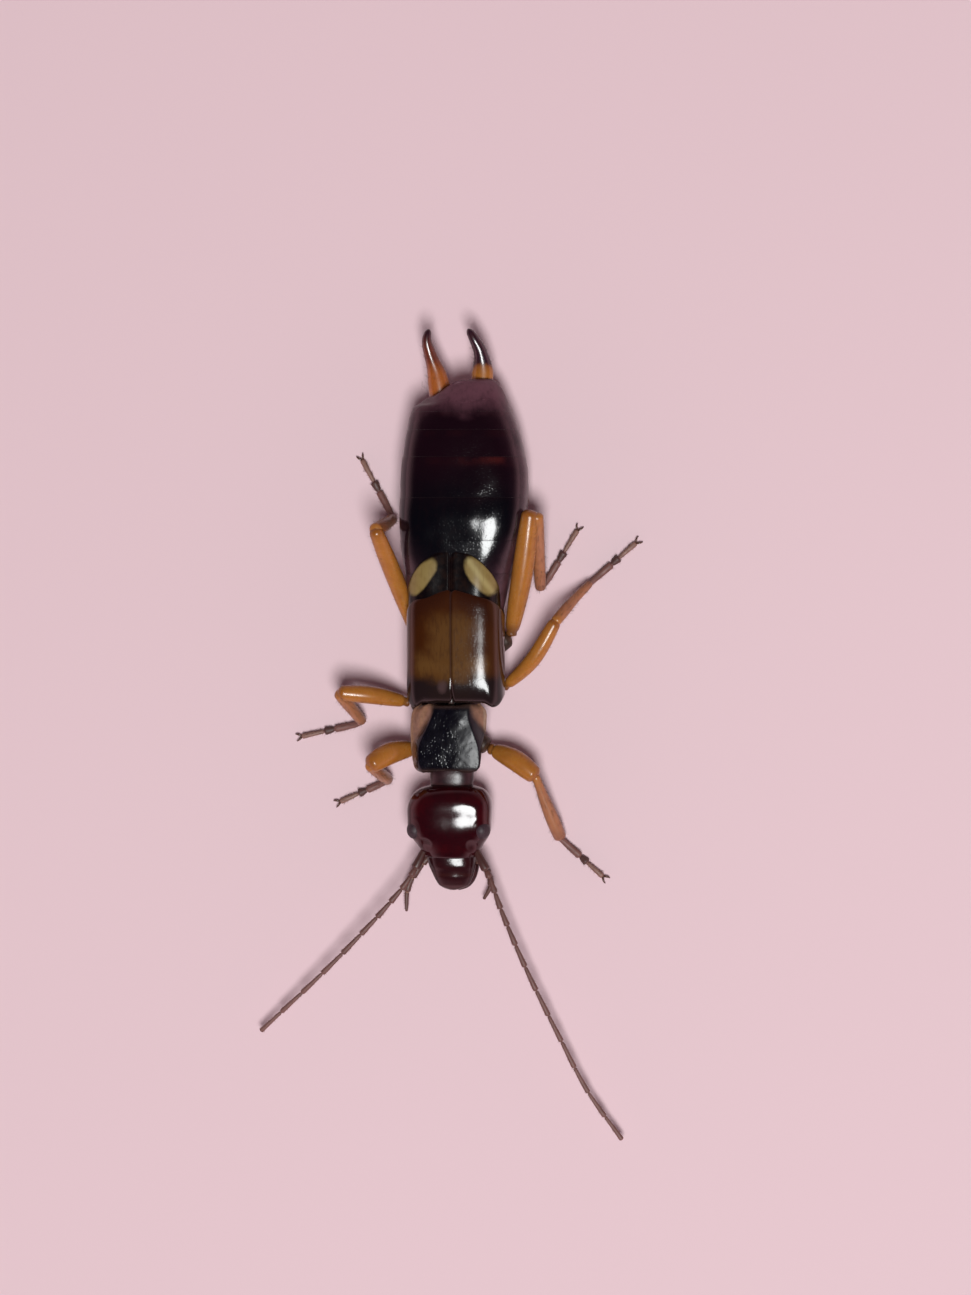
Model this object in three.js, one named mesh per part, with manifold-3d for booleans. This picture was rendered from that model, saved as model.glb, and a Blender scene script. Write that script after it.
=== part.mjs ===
// A winged little earwig, life size, standing on its six feet with the antennae
// spread forward and the forceps straight behind. Millimetres, +Z up.
//
// While it is being built the animal faces -Y, its left side is +X and the floor
// is z = 0. The finished group is then shifted so that the middle of its
// footprint stands on the origin.

import * as THREE from 'three';
import { mergeVertices } from 'three/addons/utils/BufferGeometryUtils.js';
import Module from 'manifold-3d';

const wasm = await Module();
wasm.setup();

// Sizes

const GAP = 0.13;                 // clearance between one plate or joint and the next
const AROUND = 28;                // facets round the trunk

const HEAD_REAR = -2.36;          // stations along the body, tail positive
const HEAD_FRONT = -4.6;
const PRONOTUM_FRONT = -2.1;
const PRONOTUM_REAR = -0.1;
const TEGMEN_FRONT = PRONOTUM_REAR + GAP;
const TEGMEN_REAR = 3.0;          // at the suture; the outer corner is shorter
const TEGMEN_SLANT = 0.22;
const WING_TIP = 4.3;
const ABDOMEN_FRONT = 2.62;
const ABDOMEN_REAR = 9.05;
const TERGITE_ENDS = [3.6, 4.54, 5.77, 6.94, 7.71, 8.23, ABDOMEN_REAR];
const TAIL_TURN = 0.17;           // the last plate is set askew by this angle, radians

const TEGMEN_AXIS = 0.07;         // x of the suture between the wing cases
const SUTURE = 0.13;              // width of that suture
const TEGMEN_HALF = 1.43;         // half width of the two together
const TEGMEN_TOP = 2.02;
const TEGMEN_EDGE = 1.06;         // height of the turned-down outer edge
const SHELL = 0.5;                // thickness of the wing cases and wing tips
const WING_HALF = 1.2;
const WING_TOP = 1.96;

const EYE = { out: 0.99, y: -3.84, z: 1.13, rx: 0.23, ry: 0.35, rz: 0.31 };

const FEELER = 0.5;               // thickness of the antennae at the base
const FEELER_TIP = 0.34;
const SCAPE = 0.78;               // length of the first joint
const JOINT = 0.82;               // length of each later joint

const TARSUS_HEIGHT = 0.21;       // centre line of the feet above the floor
const TARSUS_RADIUS = 0.26;

// Solids

const Z = new THREE.Vector3(0, 0, 1);
const v = (x, y, z) => new THREE.Vector3(x, y, z);

// Smooth curve through a few stations: rows of [position, value, value, ...].
function track(rows) {
  const width = rows[0].length - 1;
  const curve = new THREE.CubicInterpolant(
    Float32Array.from(rows, (row) => row[0]),
    Float32Array.from(rows.flatMap((row) => row.slice(1))), width, new Float32Array(width));
  return (at) => Array.from(curve.evaluate(THREE.MathUtils.clamp(at, rows[0][0], rows.at(-1)[0])));
}

function solid(geometry) {
  const bare = new THREE.BufferGeometry();
  bare.setAttribute('position', geometry.getAttribute('position').clone());
  if (geometry.index) bare.setIndex(geometry.index.clone());
  const merged = mergeVertices(bare, 1e-4);
  return new wasm.Manifold(new wasm.Mesh({
    numProp: 3,
    vertProperties: Float32Array.from(merged.getAttribute('position').array),
    triVerts: Uint32Array.from(merged.index.array),
  }));
}

function largest(body) {
  return body.decompose().sort((a, b) => b.volume() - a.volume())[0];
}

const minus = (body, ...cutters) => cutters.reduce((rest, cutter) => rest.subtract(cutter), body);
const plus = (body, ...others) => others.reduce((rest, other) => rest.add(other), body);

// Slivers left by a cut, thinner than this, are dropped from the finished mesh.
const SLIVER = 0.006;

function geometryOf(body) {
  const mesh = largest(body).simplify(SLIVER).getMesh();
  const geometry = new THREE.BufferGeometry();
  geometry.setAttribute('position', new THREE.BufferAttribute(Float32Array.from(mesh.vertProperties), 3));
  geometry.setIndex(new THREE.BufferAttribute(Uint32Array.from(mesh.triVerts), 1));
  geometry.computeVertexNormals();
  return geometry;
}

// A cylinder whose rings are carried to the given sections. A section has a
// centre, two unit directions, a half width, the reach above and below the
// centre, and the power of its superellipse: 2 is an ellipse, 3 is squarer.
function loft(sections, sides) {
  const rings = sections.length - 1;
  const geometry = new THREE.CylinderGeometry(1, 1, 1, sides, rings);
  const position = geometry.getAttribute('position');
  const point = new THREE.Vector3();
  for (let i = 0; i < position.count; i += 1) {
    point.fromBufferAttribute(position, i);
    const { centre, across, up, half, above, below, power = 2 } = sections[Math.round((0.5 + point.y) * rings)];
    const bend = (value) => Math.sign(value) * Math.abs(value) ** (2 / power);
    const a = Math.abs(point.x) < 1e-6 ? 0 : bend(point.x);
    const b = Math.abs(point.z) < 1e-6 ? 0 : bend(point.z);
    point.copy(centre).addScaledVector(across, half * a).addScaledVector(up, (b > 0 ? above : below) * b);
    position.setXYZ(i, point.x, point.y, point.z);
  }
  return solid(geometry);
}

// x of the body's middle line: the abdomen is carried a little to the left.
const axis = track([[-5.6, -0.04], [-4.5, -0.1], [-3.3, -0.1], [-2.3, -0.04], [-1.2, -0.05], [0.4, 0.05],
  [2.6, 0.1], [4.0, 0.17], [5.7, 0.33], [7.4, 0.32], [9.2, 0.29]]);

// A length of the trunk between two stations, from a table of
// [y, half width, top, bottom, height of the widest level, power].
function trunk(table, from, to, { rings = 4, grow = 0, swell = 0, turn = 0, sides = AROUND } = {}) {
  const sections = [];
  for (let i = 0; i <= rings; i += 1) {
    const t = i / rings;
    const y = THREE.MathUtils.lerp(from, to, t);
    const [half, top, bottom, wide, power] = table(y);
    const round = 1 + swell * (4 * t * (1 - t) - 1);
    const across = v(Math.cos(turn * t), Math.sin(turn * t), 0);
    sections.push({
      centre: v(axis(y)[0], THREE.MathUtils.lerp(from - grow, to + grow, t), wide),
      across, up: Z, half: half * round + grow,
      above: (top - wide) * round + grow, below: (wide - bottom) * round + grow, power,
    });
  }
  return loft(sections, sides);
}

// A round-ended rod along a curve. The girth is a function of the way along,
// 0 to 1, that gives the half width and, where it differs, the half height.
function rod(curve, girth, { sides = 12, rings = 8, dome = [0.2, 0.2], up = Z } = {}) {
  const sections = [];
  const put = (t, shift, scale) => {
    const along = curve.getTangentAt(t);
    const across = along.clone().cross(up).normalize();
    const [half, high = half] = [girth(t)].flat();
    sections.push({
      centre: curve.getPointAt(t).addScaledVector(along, shift), across,
      up: across.clone().cross(along).normalize(), half: half * scale, above: high * scale, below: high * scale,
    });
  };
  const arcs = [0.35, 0.92];
  arcs.forEach((angle) => dome[0] && put(0, -dome[0] * Math.cos(angle), Math.sin(angle)));
  for (let i = 0; i <= rings; i += 1) put(i / rings, 0, 1);
  arcs.toReversed().forEach((angle) => dome[1] && put(1, dome[1] * Math.cos(angle), Math.sin(angle)));
  return loft(sections, sides);
}

// Everything on the far side of a plane, for cutting away.
function beyond(point, normal, shift = 0) {
  const block = new THREE.BoxGeometry(24, 24, 24).translate(0, 0, 12);
  block.applyQuaternion(new THREE.Quaternion().setFromUnitVectors(Z, normal.clone().normalize()));
  const at = point.clone().addScaledVector(normal.clone().normalize(), shift);
  return solid(block.translate(at.x, at.y, at.z));
}

const UNDERGROUND = beyond(v(0, 0, 0), v(0, 0, -1));

// Parts two rods that meet at a joint along the plane that halves their angle.
function joint(first, second, at, before, after) {
  const normal = before.clone().normalize().add(after.clone().normalize()).normalize();
  return [
    minus(first, beyond(at, normal, -GAP / 2)),
    minus(second, beyond(at, normal.clone().negate(), -GAP / 2)),
  ];
}

function ball({ x, y, z, rx, ry, rz }, grow = 0) {
  return solid(new THREE.SphereGeometry(1, 14, 9).rotateX(Math.PI / 2).rotateZ(Math.PI / 2)
    .scale(rx + grow, ry + grow, rz + grow).translate(x, y, z));
}

// Model

const model = new THREE.Group();
model.name = 'earwig';

const LOOKS = {
  head: [0x4a1a14, 0.25], mouth: [0x5a2a1c, 0.35], eye: [0x1b1413, 0.3], feeler: [0x6a4f45, 0.55],
  pronotum: [0x17161c, 0.25], thorax: [0x2a211c, 0.45], tegmen: [0x5b4424, 0.35], wing: [0xcdb86a, 0.4],
  abdomen: [0x1f1114, 0.25], forceps: [0x9a4f1d, 0.3], leg: [0xb98332, 0.35], tarsus: [0x5b4236, 0.5],
};

function section(name) {
  const group = new THREE.Group();
  group.name = name;
  model.add(group);
  return group;
}

function add(group, name, body, look) {
  const [color, roughness] = LOOKS[look];
  const mesh = new THREE.Mesh(
    geometryOf(body),
    new THREE.MeshStandardMaterial({ color, roughness, metalness: 0 }),
  );
  mesh.name = name;
  group.add(mesh);
}

const SIDES = [['left', 1], ['right', -1]];

// Head

const headTable = track([
  [-4.62, 0.6, 1.1, 0.62, 0.88, 2.2],
  [-4.45, 0.78, 1.3, 0.52, 0.92, 2.3],
  [-4.15, 0.9, 1.5, 0.46, 0.96, 2.3],
  [-3.8, 1.07, 1.65, 0.42, 1.02, 2.3],
  [-3.4, 1.2, 1.72, 0.4, 1.05, 2.4],
  [-3.0, 1.2, 1.68, 0.42, 1.04, 2.4],
  [-2.7, 1.08, 1.55, 0.48, 1.02, 2.4],
  [-2.48, 0.9, 1.38, 0.6, 1.0, 2.3],
  [-2.34, 0.62, 1.18, 0.78, 0.98, 2.2],
]);
const headSolid = (grow = 0) => trunk(
  headTable, HEAD_FRONT, HEAD_REAR, { rings: grow ? 10 : 12, grow, sides: 26 });
const headX = axis(-3.6)[0];
const eyeAt = (side) => ({ ...EYE, x: headX + side * EYE.out });

const head = section('head_parts');
const headClear = headSolid(GAP);
add(head, 'head', minus(headSolid(), ...SIDES.map(([, side]) => ball(eyeAt(side), GAP * 0.7))), 'head');
SIDES.forEach(([name, side]) => add(head, `eye_${name}`, ball(eyeAt(side)), 'eye'));

// Upper lip: a rounded flap in front of the face.
const lipTable = track([
  [-5.42, 0.2, 0.98, 0.72, 0.84, 2.2],
  [-5.3, 0.38, 1.02, 0.68, 0.84, 2.4],
  [-5.05, 0.5, 1.1, 0.66, 0.84, 2.5],
  [-4.85, 0.55, 1.15, 0.66, 0.84, 2.5],
  [-4.6, 0.58, 1.22, 0.66, 0.84, 2.5],
]);
add(head, 'labrum', minus(trunk(lipTable, -5.42, -4.6, { rings: 7, sides: 20 }), headClear), 'mouth');

// Jaws: stout hooks below the lip that close on the middle line.
const jaws = SIDES.map(([name, side]) => {
  const x = axis(-5)[0];
  const curve = new THREE.CatmullRomCurve3([
    v(x + side * 0.36, -4.4, 0.46), v(x + side * 0.41, -4.85, 0.44),
    v(x + side * 0.34, -5.2, 0.44), v(x + side * 0.16, -5.44, 0.46)]);
  const jaw = rod(curve, (t) => [0.26 - 0.14 * t * t, 0.17 - 0.05 * t], { sides: 10, rings: 5, dome: [0, 0.1] });
  const middle = beyond(v(x, 0, 0), v(-side, 0, 0), -GAP / 2);
  return [`mandible_${name}`, minus(jaw, headClear, middle)];
});
jaws.forEach(([name, body]) => add(head, name, body, 'mouth'));

// Jaw feelers, from the cheek below the jaw forwards.
const PALPS = {
  left: [v(0.42, -4.4, 0.62), v(0.9, -4.86, 0.56), v(1.0, -5.3, 0.42), v(0.78, -5.72, 0.3)],
  right: [v(-0.62, -4.36, 0.62), v(-1.08, -4.86, 0.56), v(-1.4, -5.4, 0.42), v(-1.46, -6.08, 0.3)],
};
SIDES.forEach(([name]) => {
  const curve = new THREE.CatmullRomCurve3(PALPS[name]);
  const palp = rod(curve, (t) => 0.2 - 0.05 * t + 0.012 * Math.cos(t * 8 * Math.PI),
    { sides: 8, rings: 11, dome: [0, 0.1] });
  add(head, `maxillary_palp_${name}`, minus(palp, headClear), 'mouth');
});

// Antennae

const FEELERS = {
  left: [v(0.56, -4.12, 0.98), v(1.03, -5.0, 1.14), v(1.49, -6.23, 1.12),
    v(2.17, -7.83, 1.0), v(3.09, -9.74, 0.82),
    v(3.84, -11.2, 0.64), v(4.8, -12.57, 0.46)],
  right: [v(-0.72, -4.06, 0.98), v(-1.2, -5.02, 1.15), v(-1.64, -5.6, 1.14),
    v(-2.49, -6.53, 1.06), v(-3.8, -7.83, 0.86), v(-5.68, -9.54, 0.46)],
};
const antennae = section('antennae');
SIDES.forEach(([name]) => {
  const whole = new THREE.CatmullRomCurve3(FEELERS[name]);
  whole.arcLengthDivisions = 400;
  const length = whole.getLength();
  // part of the whole curve between two distances, with its own girth
  const piece = (from, to, dome, bead) => {
    const steps = 12;
    const points = Array.from({ length: steps + 1 }, (_, i) => (
      whole.getPointAt(THREE.MathUtils.lerp(from, to, i / steps) / length)));
    const joints = Math.max(1, Math.round((to - from) / JOINT));
    return rod(new THREE.CatmullRomCurve3(points), (t) => {
      const at = THREE.MathUtils.lerp(from, to, t) / length;
      const girth = THREE.MathUtils.lerp(FEELER, FEELER_TIP, at ** 1.5) / 2;
      return girth * (1 - bead * Math.cos(t * joints * 2 * Math.PI) ** 6);
    }, { sides: 9, rings: bead ? joints * 4 : 4, dome });
  };
  const ends = [SCAPE, SCAPE + (length - SCAPE) * 0.36, SCAPE + (length - SCAPE) * 0.7, length - 0.08];
  add(antennae, `antenna_${name}_scape`, minus(piece(0, ends[0] - GAP, [0, 0], 0), headClear), 'feeler');
  add(antennae, `antenna_${name}_base`, piece(ends[0], ends[1] - GAP, [0, 0], 0.07), 'feeler');
  add(antennae, `antenna_${name}_middle`, piece(ends[1], ends[2] - GAP, [0, 0], 0.07), 'feeler');
  add(antennae, `antenna_${name}_tip`, piece(ends[2], ends[3], [0, 0.1], 0.07), 'feeler');
});

// Thorax

const thoraxParts = section('thorax_parts');

const neckTable = track([
  [-2.6, 0.56, 1.34, 0.64, 0.98, 2.2], [-2.2, 0.6, 1.34, 0.6, 0.98, 2.2],
  [-1.7, 0.62, 1.24, 0.58, 0.98, 2.2]]);
const pronotumTable = track([
  [-2.12, 0.62, 1.5, 1.16, 1.26, 2.4],
  [-2.05, 0.86, 1.56, 1.12, 1.26, 2.5],
  [-1.88, 1.0, 1.63, 1.08, 1.26, 2.6],
  [-1.3, 1.06, 1.72, 1.06, 1.26, 2.7],
  [-0.6, 1.09, 1.74, 1.06, 1.28, 2.8],
  [-0.3, 1.05, 1.76, 1.08, 1.3, 2.8],
  [-0.08, 0.84, 1.74, 1.14, 1.32, 2.6],
]);
const prothoraxTable = track([
  [-1.95, 0.55, 1.02, 0.56, 0.8, 2.3], [-1.6, 0.74, 1.02, 0.44, 0.76, 2.3],
  [-0.8, 0.8, 1.02, 0.4, 0.74, 2.3], [-0.1, 0.72, 1.02, 0.44, 0.76, 2.3],
]);
const thoraxTable = track([
  [-0.1, 0.98, 1.5, 0.44, 0.98, 2.3], [0.3, 1.2, 1.62, 0.4, 0.98, 2.4], [1.0, 1.42, 1.62, 0.36, 0.96, 2.3],
  [1.9, 1.46, 1.62, 0.36, 0.94, 2.3], [2.6, 1.36, 1.5, 0.4, 0.92, 2.3],
]);

const pronotum = trunk(pronotumTable, PRONOTUM_FRONT, PRONOTUM_REAR, { rings: 9, sides: 28 });
add(thoraxParts, 'pronotum', pronotum, 'pronotum');
const pronotumClear = trunk(pronotumTable, PRONOTUM_FRONT, PRONOTUM_REAR, { rings: 8, grow: GAP, sides: 24 });
const prothorax = (grow = 0) => trunk(prothoraxTable, -1.92, -0.12, { rings: 5, grow, sides: 20 });
const prothoraxBody = minus(prothorax(), pronotumClear);
add(thoraxParts, 'prothorax', prothoraxBody, 'thorax');
add(thoraxParts, 'neck', minus(
  trunk(neckTable, -2.55, -1.7, { rings: 4, sides: 18 }), headClear, prothorax(GAP), pronotumClear), 'thorax');

// Wing cases and wing tips are shells cut from rounded vaults by their plan.
function vault(half, top, from, to, grow) {
  const table = () => [half, top, 0.2, 0.9, 3.4];
  const sections = [];
  const drop = (t) => 0.17 * (1 - t) ** 2;
  for (let i = 0; i <= 6; i += 1) {
    const t = i / 6;
    const [width, height, bottom, wide, power] = table();
    sections.push({
      centre: v(TEGMEN_AXIS, THREE.MathUtils.lerp(from, to, t), wide), across: v(1, 0, 0), up: Z,
      half: width + grow, above: height - wide + grow - drop(t), below: wide - bottom, power,
    });
  }
  return loft(sections, 36);
}

function plan(side, corners, grow) {
  const shape = new THREE.Shape();
  const x = (value) => TEGMEN_AXIS + side * value;
  const inner = SUTURE / 2 - grow;
  shape.moveTo(x(inner), corners.front - grow);
  shape.lineTo(x(corners.shoulder), corners.front - grow);
  shape.quadraticCurveTo(
    x(corners.reach + grow), corners.front - grow, x(corners.reach + grow), corners.front + corners.round);
  corners.rear(shape, x, inner, grow);
  shape.closePath();
  const block = new THREE.ExtrudeGeometry(shape, { depth: 3, bevelEnabled: false, curveSegments: 7 });
  return solid(block.translate(0, 0, TEGMEN_EDGE - grow));
}

const shell = (half, top, from, to, grow) => minus(
  vault(half, top, from, to, grow),
  vault(half - SHELL, top - SHELL, from - 1, to + 1, -grow));

const tegmenPlan = (side, grow) => plan(side, {
  front: TEGMEN_FRONT, shoulder: TEGMEN_HALF - 0.42, reach: TEGMEN_HALF + 0.2, round: 0.5,
  rear: (shape, x, inner, g) => {
    shape.lineTo(x(TEGMEN_HALF + 0.2 + g), TEGMEN_REAR - TEGMEN_SLANT - 0.4);
    shape.quadraticCurveTo(
      x(TEGMEN_HALF + 0.1 + g), TEGMEN_REAR - TEGMEN_SLANT + g,
      x(TEGMEN_HALF - 0.5), TEGMEN_REAR - TEGMEN_SLANT * 0.7 + g);
    shape.lineTo(x(inner), TEGMEN_REAR + g);
  },
}, grow);
const tegmen = (side, grow = 0) => (
  shell(TEGMEN_HALF, TEGMEN_TOP, TEGMEN_FRONT - 0.4, TEGMEN_REAR + 0.4, grow)
    .intersect(tegmenPlan(side, grow)));
const tegmenClear = SIDES.map(([, side]) => tegmen(side, GAP));

const wingPlan = (side, grow) => plan(side, {
  front: TEGMEN_REAR - 1, shoulder: WING_HALF - 0.1, reach: WING_HALF, round: 0.2,
  rear: (shape, x, inner, g) => {
    shape.lineTo(x(WING_HALF + g), TEGMEN_REAR + 0.2);
    shape.quadraticCurveTo(
      x(WING_HALF - 0.02 + g), WING_TIP - 0.18 + g, x(WING_HALF * 0.42), WING_TIP - 0.06 + g);
    shape.quadraticCurveTo(x(WING_HALF * 0.25), WING_TIP + g, x(inner), WING_TIP + g);
  },
}, grow);
const wing = (side, grow = 0) => (
  shell(TEGMEN_HALF - 0.06, WING_TOP, TEGMEN_REAR - 1.5, WING_TIP + 0.5, grow)
    .intersect(wingPlan(side, grow)));
const wingClear = SIDES.map(([, side]) => wing(side, GAP));

SIDES.forEach(([name, side], i) => {
  add(thoraxParts, `tegmen_${name}`, tegmen(side), 'tegmen');
  add(thoraxParts, `hindwing_tip_${name}`, minus(wing(side), tegmenClear[i]), 'wing');
});

const thorax = (grow = 0) => trunk(
  thoraxTable, PRONOTUM_REAR + 0.12, ABDOMEN_FRONT - GAP, { rings: 7, grow, sides: 28 });
const thoraxBody = minus(thorax(), ...tegmenClear, pronotumClear, prothorax(GAP));
add(thoraxParts, 'thorax', thoraxBody, 'thorax');

// Abdomen

const abdomenTable = track([
  [2.5, 1.34, 1.46, 0.42, 0.92, 2.2], [3.5, 1.5, 1.72, 0.36, 0.98, 2.3], [4.5, 1.7, 1.94, 0.33, 1.04, 2.35],
  [5.5, 1.82, 2.08, 0.32, 1.1, 2.4], [6.6, 1.8, 2.12, 0.33, 1.13, 2.4], [7.4, 1.66, 2.06, 0.37, 1.13, 2.4],
  [8.0, 1.49, 1.96, 0.43, 1.12, 2.4], [8.55, 1.25, 1.8, 0.52, 1.1, 2.5], [9.1, 1.02, 1.58, 0.64, 1.08, 2.6],
]);
const abdomen = section('abdomen');
TERGITE_ENDS.forEach((end, i) => {
  const start = i ? TERGITE_ENDS[i - 1] : ABDOMEN_FRONT;
  const last = i === TERGITE_ENDS.length - 1;
  let plate = trunk(abdomenTable, start, last ? end : end - GAP,
    { rings: last ? 6 : 4, swell: 0.022, turn: last ? TAIL_TURN : 0 });
  if (i < 3) plate = minus(plate, ...wingClear, ...(i ? [] : tegmenClear));
  add(abdomen, `abdomen_${i + 1}`, plate, 'abdomen');
});

const FORCEPS = {
  left: [v(0.83, ABDOMEN_REAR + 0.14, 1.1), v(0.85, 9.6, 1.08),
    v(0.76, 10.0, 1.06), v(0.6, 10.34, 1.04), v(0.46, 10.58, 1.04)],
  right: [v(-0.36, ABDOMEN_REAR - 0.08, 1.1), v(-0.5, 9.5, 1.08),
    v(-0.67, 9.95, 1.06), v(-0.72, 10.3, 1.04), v(-0.66, 10.58, 1.04)],
};
SIDES.forEach(([name]) => {
  const curve = new THREE.CatmullRomCurve3(FORCEPS[name]);
  const girth = track([[0, 0.29, 0.27], [0.3, 0.23, 0.24], [0.6, 0.18, 0.18], [1, 0.1, 0.11]]);
  const body = rod(curve, girth, { sides: 14, rings: 10, dome: [0, 0.06] });
  const rump = beyond(v(axis(9)[0], ABDOMEN_REAR, 0),
    v(Math.sin(TAIL_TURN), -Math.cos(TAIL_TURN), 0), -GAP * 0.9);
  add(abdomen, `forceps_${name}`, minus(body, rump), 'forceps');
});

// Legs

// Root in the thorax, hip, knee, ankle and toe of each leg; half widths of the
// femur and the tibia; and how far the femur bows.
const LEGS = {
  front_left: {
    root: v(0.42, -1.05, 0.6), hip: v(0.98, -1.37, 0.66), knee: v(2.39, -2.17, 1.15),
    ankle: v(3.01, -4.0, 0.3), toe: v(4.2, -5.06), femur: 0.31, tibia: 0.25, bow: v(0.1, 0.05, 0.12),
  },
  front_right: {
    root: v(-0.52, -1.05, 0.6), hip: v(-1.08, -1.37, 0.68), knee: v(-2.3, -1.85, 1.75),
    ankle: v(-1.98, -2.31, 0.3), toe: v(-3.42, -2.94), femur: 0.32, tibia: 0.25, bow: v(-0.05, 0.1, 0.1),
  },
  middle_left: {
    root: v(0.85, 0.1, 0.56), hip: v(1.38, 0.32, 0.6), knee: v(2.98, 2.23, 1.3),
    ankle: v(3.87, 3.37, 0.3), toe: v(5.15, 4.49), femur: 0.25, tibia: 0.25, bow: v(0.12, -0.12, 0.12),
  },
  middle_right: {
    root: v(-0.75, -0.05, 0.56), hip: v(-1.3, -0.08, 0.62), knee: v(-3.22, 0.21, 1.45),
    ankle: v(-2.73, -0.66, 0.3), toe: v(-4.54, -1.06), femur: 0.25, tibia: 0.25, bow: v(0, 0.06, 0.12),
  },
  hind_left: {
    root: v(1.0, 1.5, 0.52), hip: v(1.6, 1.8, 0.58), knee: v(2.38, 5.24, 1.62),
    ankle: v(2.58, 3.16, 0.3), toe: v(3.46, 4.86), femur: 0.29, tibia: 0.25, bow: v(0.05, 0, 0.02),
  },
  hind_right: {
    root: v(-0.85, 1.4, 0.52), hip: v(-1.26, 1.66, 0.54), knee: v(-2.06, 4.84, 2.25),
    ankle: v(-1.86, 5.2, 0.3), toe: v(-2.78, 6.9), femur: 0.25, tibia: 0.25, bow: v(0.0, 0.12, -0.14),
  },
};

const bodyClear = [thorax(GAP), prothorax(GAP)];
const flankClear = [
  trunk(abdomenTable, ABDOMEN_FRONT, ABDOMEN_REAR, { rings: 10, grow: GAP, sides: 22 }),
  ...tegmenClear,
];

Object.entries(LEGS).forEach(([name, leg]) => {
  const group = section(`leg_${name}`);
  const { root, hip, knee, ankle, toe, femur, tibia, bow } = leg;
  toe.z = TARSUS_HEIGHT;
  ankle.z = TARSUS_HEIGHT + 0.1;

  const thighLine = new THREE.QuadraticBezierCurve3(
    hip, hip.clone().lerp(knee, 0.5).addScaledVector(bow, 2), knee);
  const foot = v(ankle.x, ankle.y, TARSUS_HEIGHT);
  const coxaDirection = hip.clone().sub(root);
  const thighEnd = thighLine.getTangentAt(1);
  const shin = ankle.clone().sub(knee);
  const heel = toe.clone().sub(foot);

  const coxaRod = rod(new THREE.LineCurve3(root, hip), (t) => 0.32 - 0.04 * t,
    { sides: 12, rings: 3, dome: [0.2, 0.2] });
  const femurRod = rod(thighLine,
    (t) => femur * (0.78 + 0.34 * Math.sin(Math.PI * Math.min(1, t * 1.25 + 0.05)) ** 0.8),
    { sides: 11, rings: 8, dome: [0.2, 0.2] });
  const shinLine = new THREE.QuadraticBezierCurve3(
    knee, knee.clone().lerp(ankle, 0.5).addScaledVector(bow, -0.3), ankle);
  const tibiaRod = rod(shinLine, (t) => tibia * (1.02 - 0.06 * t),
    { sides: 9, rings: 5, dome: [0.2, 0.16], up: v(bow.y, -bow.x, 0.3).normalize() });

  // Foot of three joints, the last with a pair of claws, flat below.
  const sole = new THREE.LineCurve3(foot, toe);
  const bead = (t) => (t < 0.5 ? t / 0.5 : (t - 0.5) / 0.25);
  const beads = (t) => TARSUS_RADIUS * (t > 0.86 ? 0.84 : 0.94 - 0.1 * Math.cos(2 * Math.PI * bead(t)));
  const side = heel.clone().cross(Z).normalize();
  const clawRoot = (hand) => toe.clone().addScaledVector(side, hand * 0.06);
  const clawTip = (hand) => toe.clone().addScaledVector(heel.clone().normalize(), 0.24)
    .addScaledVector(side, hand * 0.22);
  const claws = [1, -1].map((hand) => rod(new THREE.LineCurve3(clawRoot(hand), clawTip(hand)),
    (t) => 0.15 - 0.08 * t, { sides: 6, rings: 1, dome: [0, 0.05] }));
  const tarsusRod = plus(rod(sole, beads, { sides: 8, rings: 9, dome: [0.18, 0.1] }), ...claws);

  let [coxaPart, femurPart] = joint(coxaRod, femurRod, hip, coxaDirection, thighLine.getTangentAt(0));
  let tibiaPart;
  [femurPart, tibiaPart] = joint(femurPart, tibiaRod, knee, thighEnd, shin);
  let tarsusPart;
  [tibiaPart, tarsusPart] = joint(tibiaPart, tarsusRod, v(ankle.x, ankle.y, TARSUS_HEIGHT + 0.08), shin, heel);

  add(group, `coxa_${name}`, minus(coxaPart, ...bodyClear), 'leg');
  const clearOf = name.startsWith('front') ? bodyClear : [...bodyClear, ...flankClear];
  add(group, `femur_${name}`, minus(femurPart, ...clearOf), 'leg');
  add(group, `tibia_${name}`, minus(tibiaPart, UNDERGROUND), 'leg');
  add(group, `tarsus_${name}`, minus(tarsusPart, UNDERGROUND), 'tarsus');
});

// Placing

const box = new THREE.Box3().setFromObject(model);
const middle = box.getCenter(new THREE.Vector3());
model.position.set(-middle.x, -middle.y, -box.min.z);
model.updateMatrixWorld(true);

export default model;
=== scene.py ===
"""A winged earwig, life size, standing still on a pale floor.

Every shape is worked out in the animal's own millimetres: it faces -Y, its left
side is +X and the floor is z = 0. Each finished piece is then carried into the
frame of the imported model, in metres.
"""
import math
import random
from bisect import bisect_right
from collections import namedtuple
from functools import lru_cache

import bmesh
import bpy
from bpy.props import FloatProperty, FloatVectorProperty, IntProperty, PointerProperty
from mathutils import Matrix, Vector, noise


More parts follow.
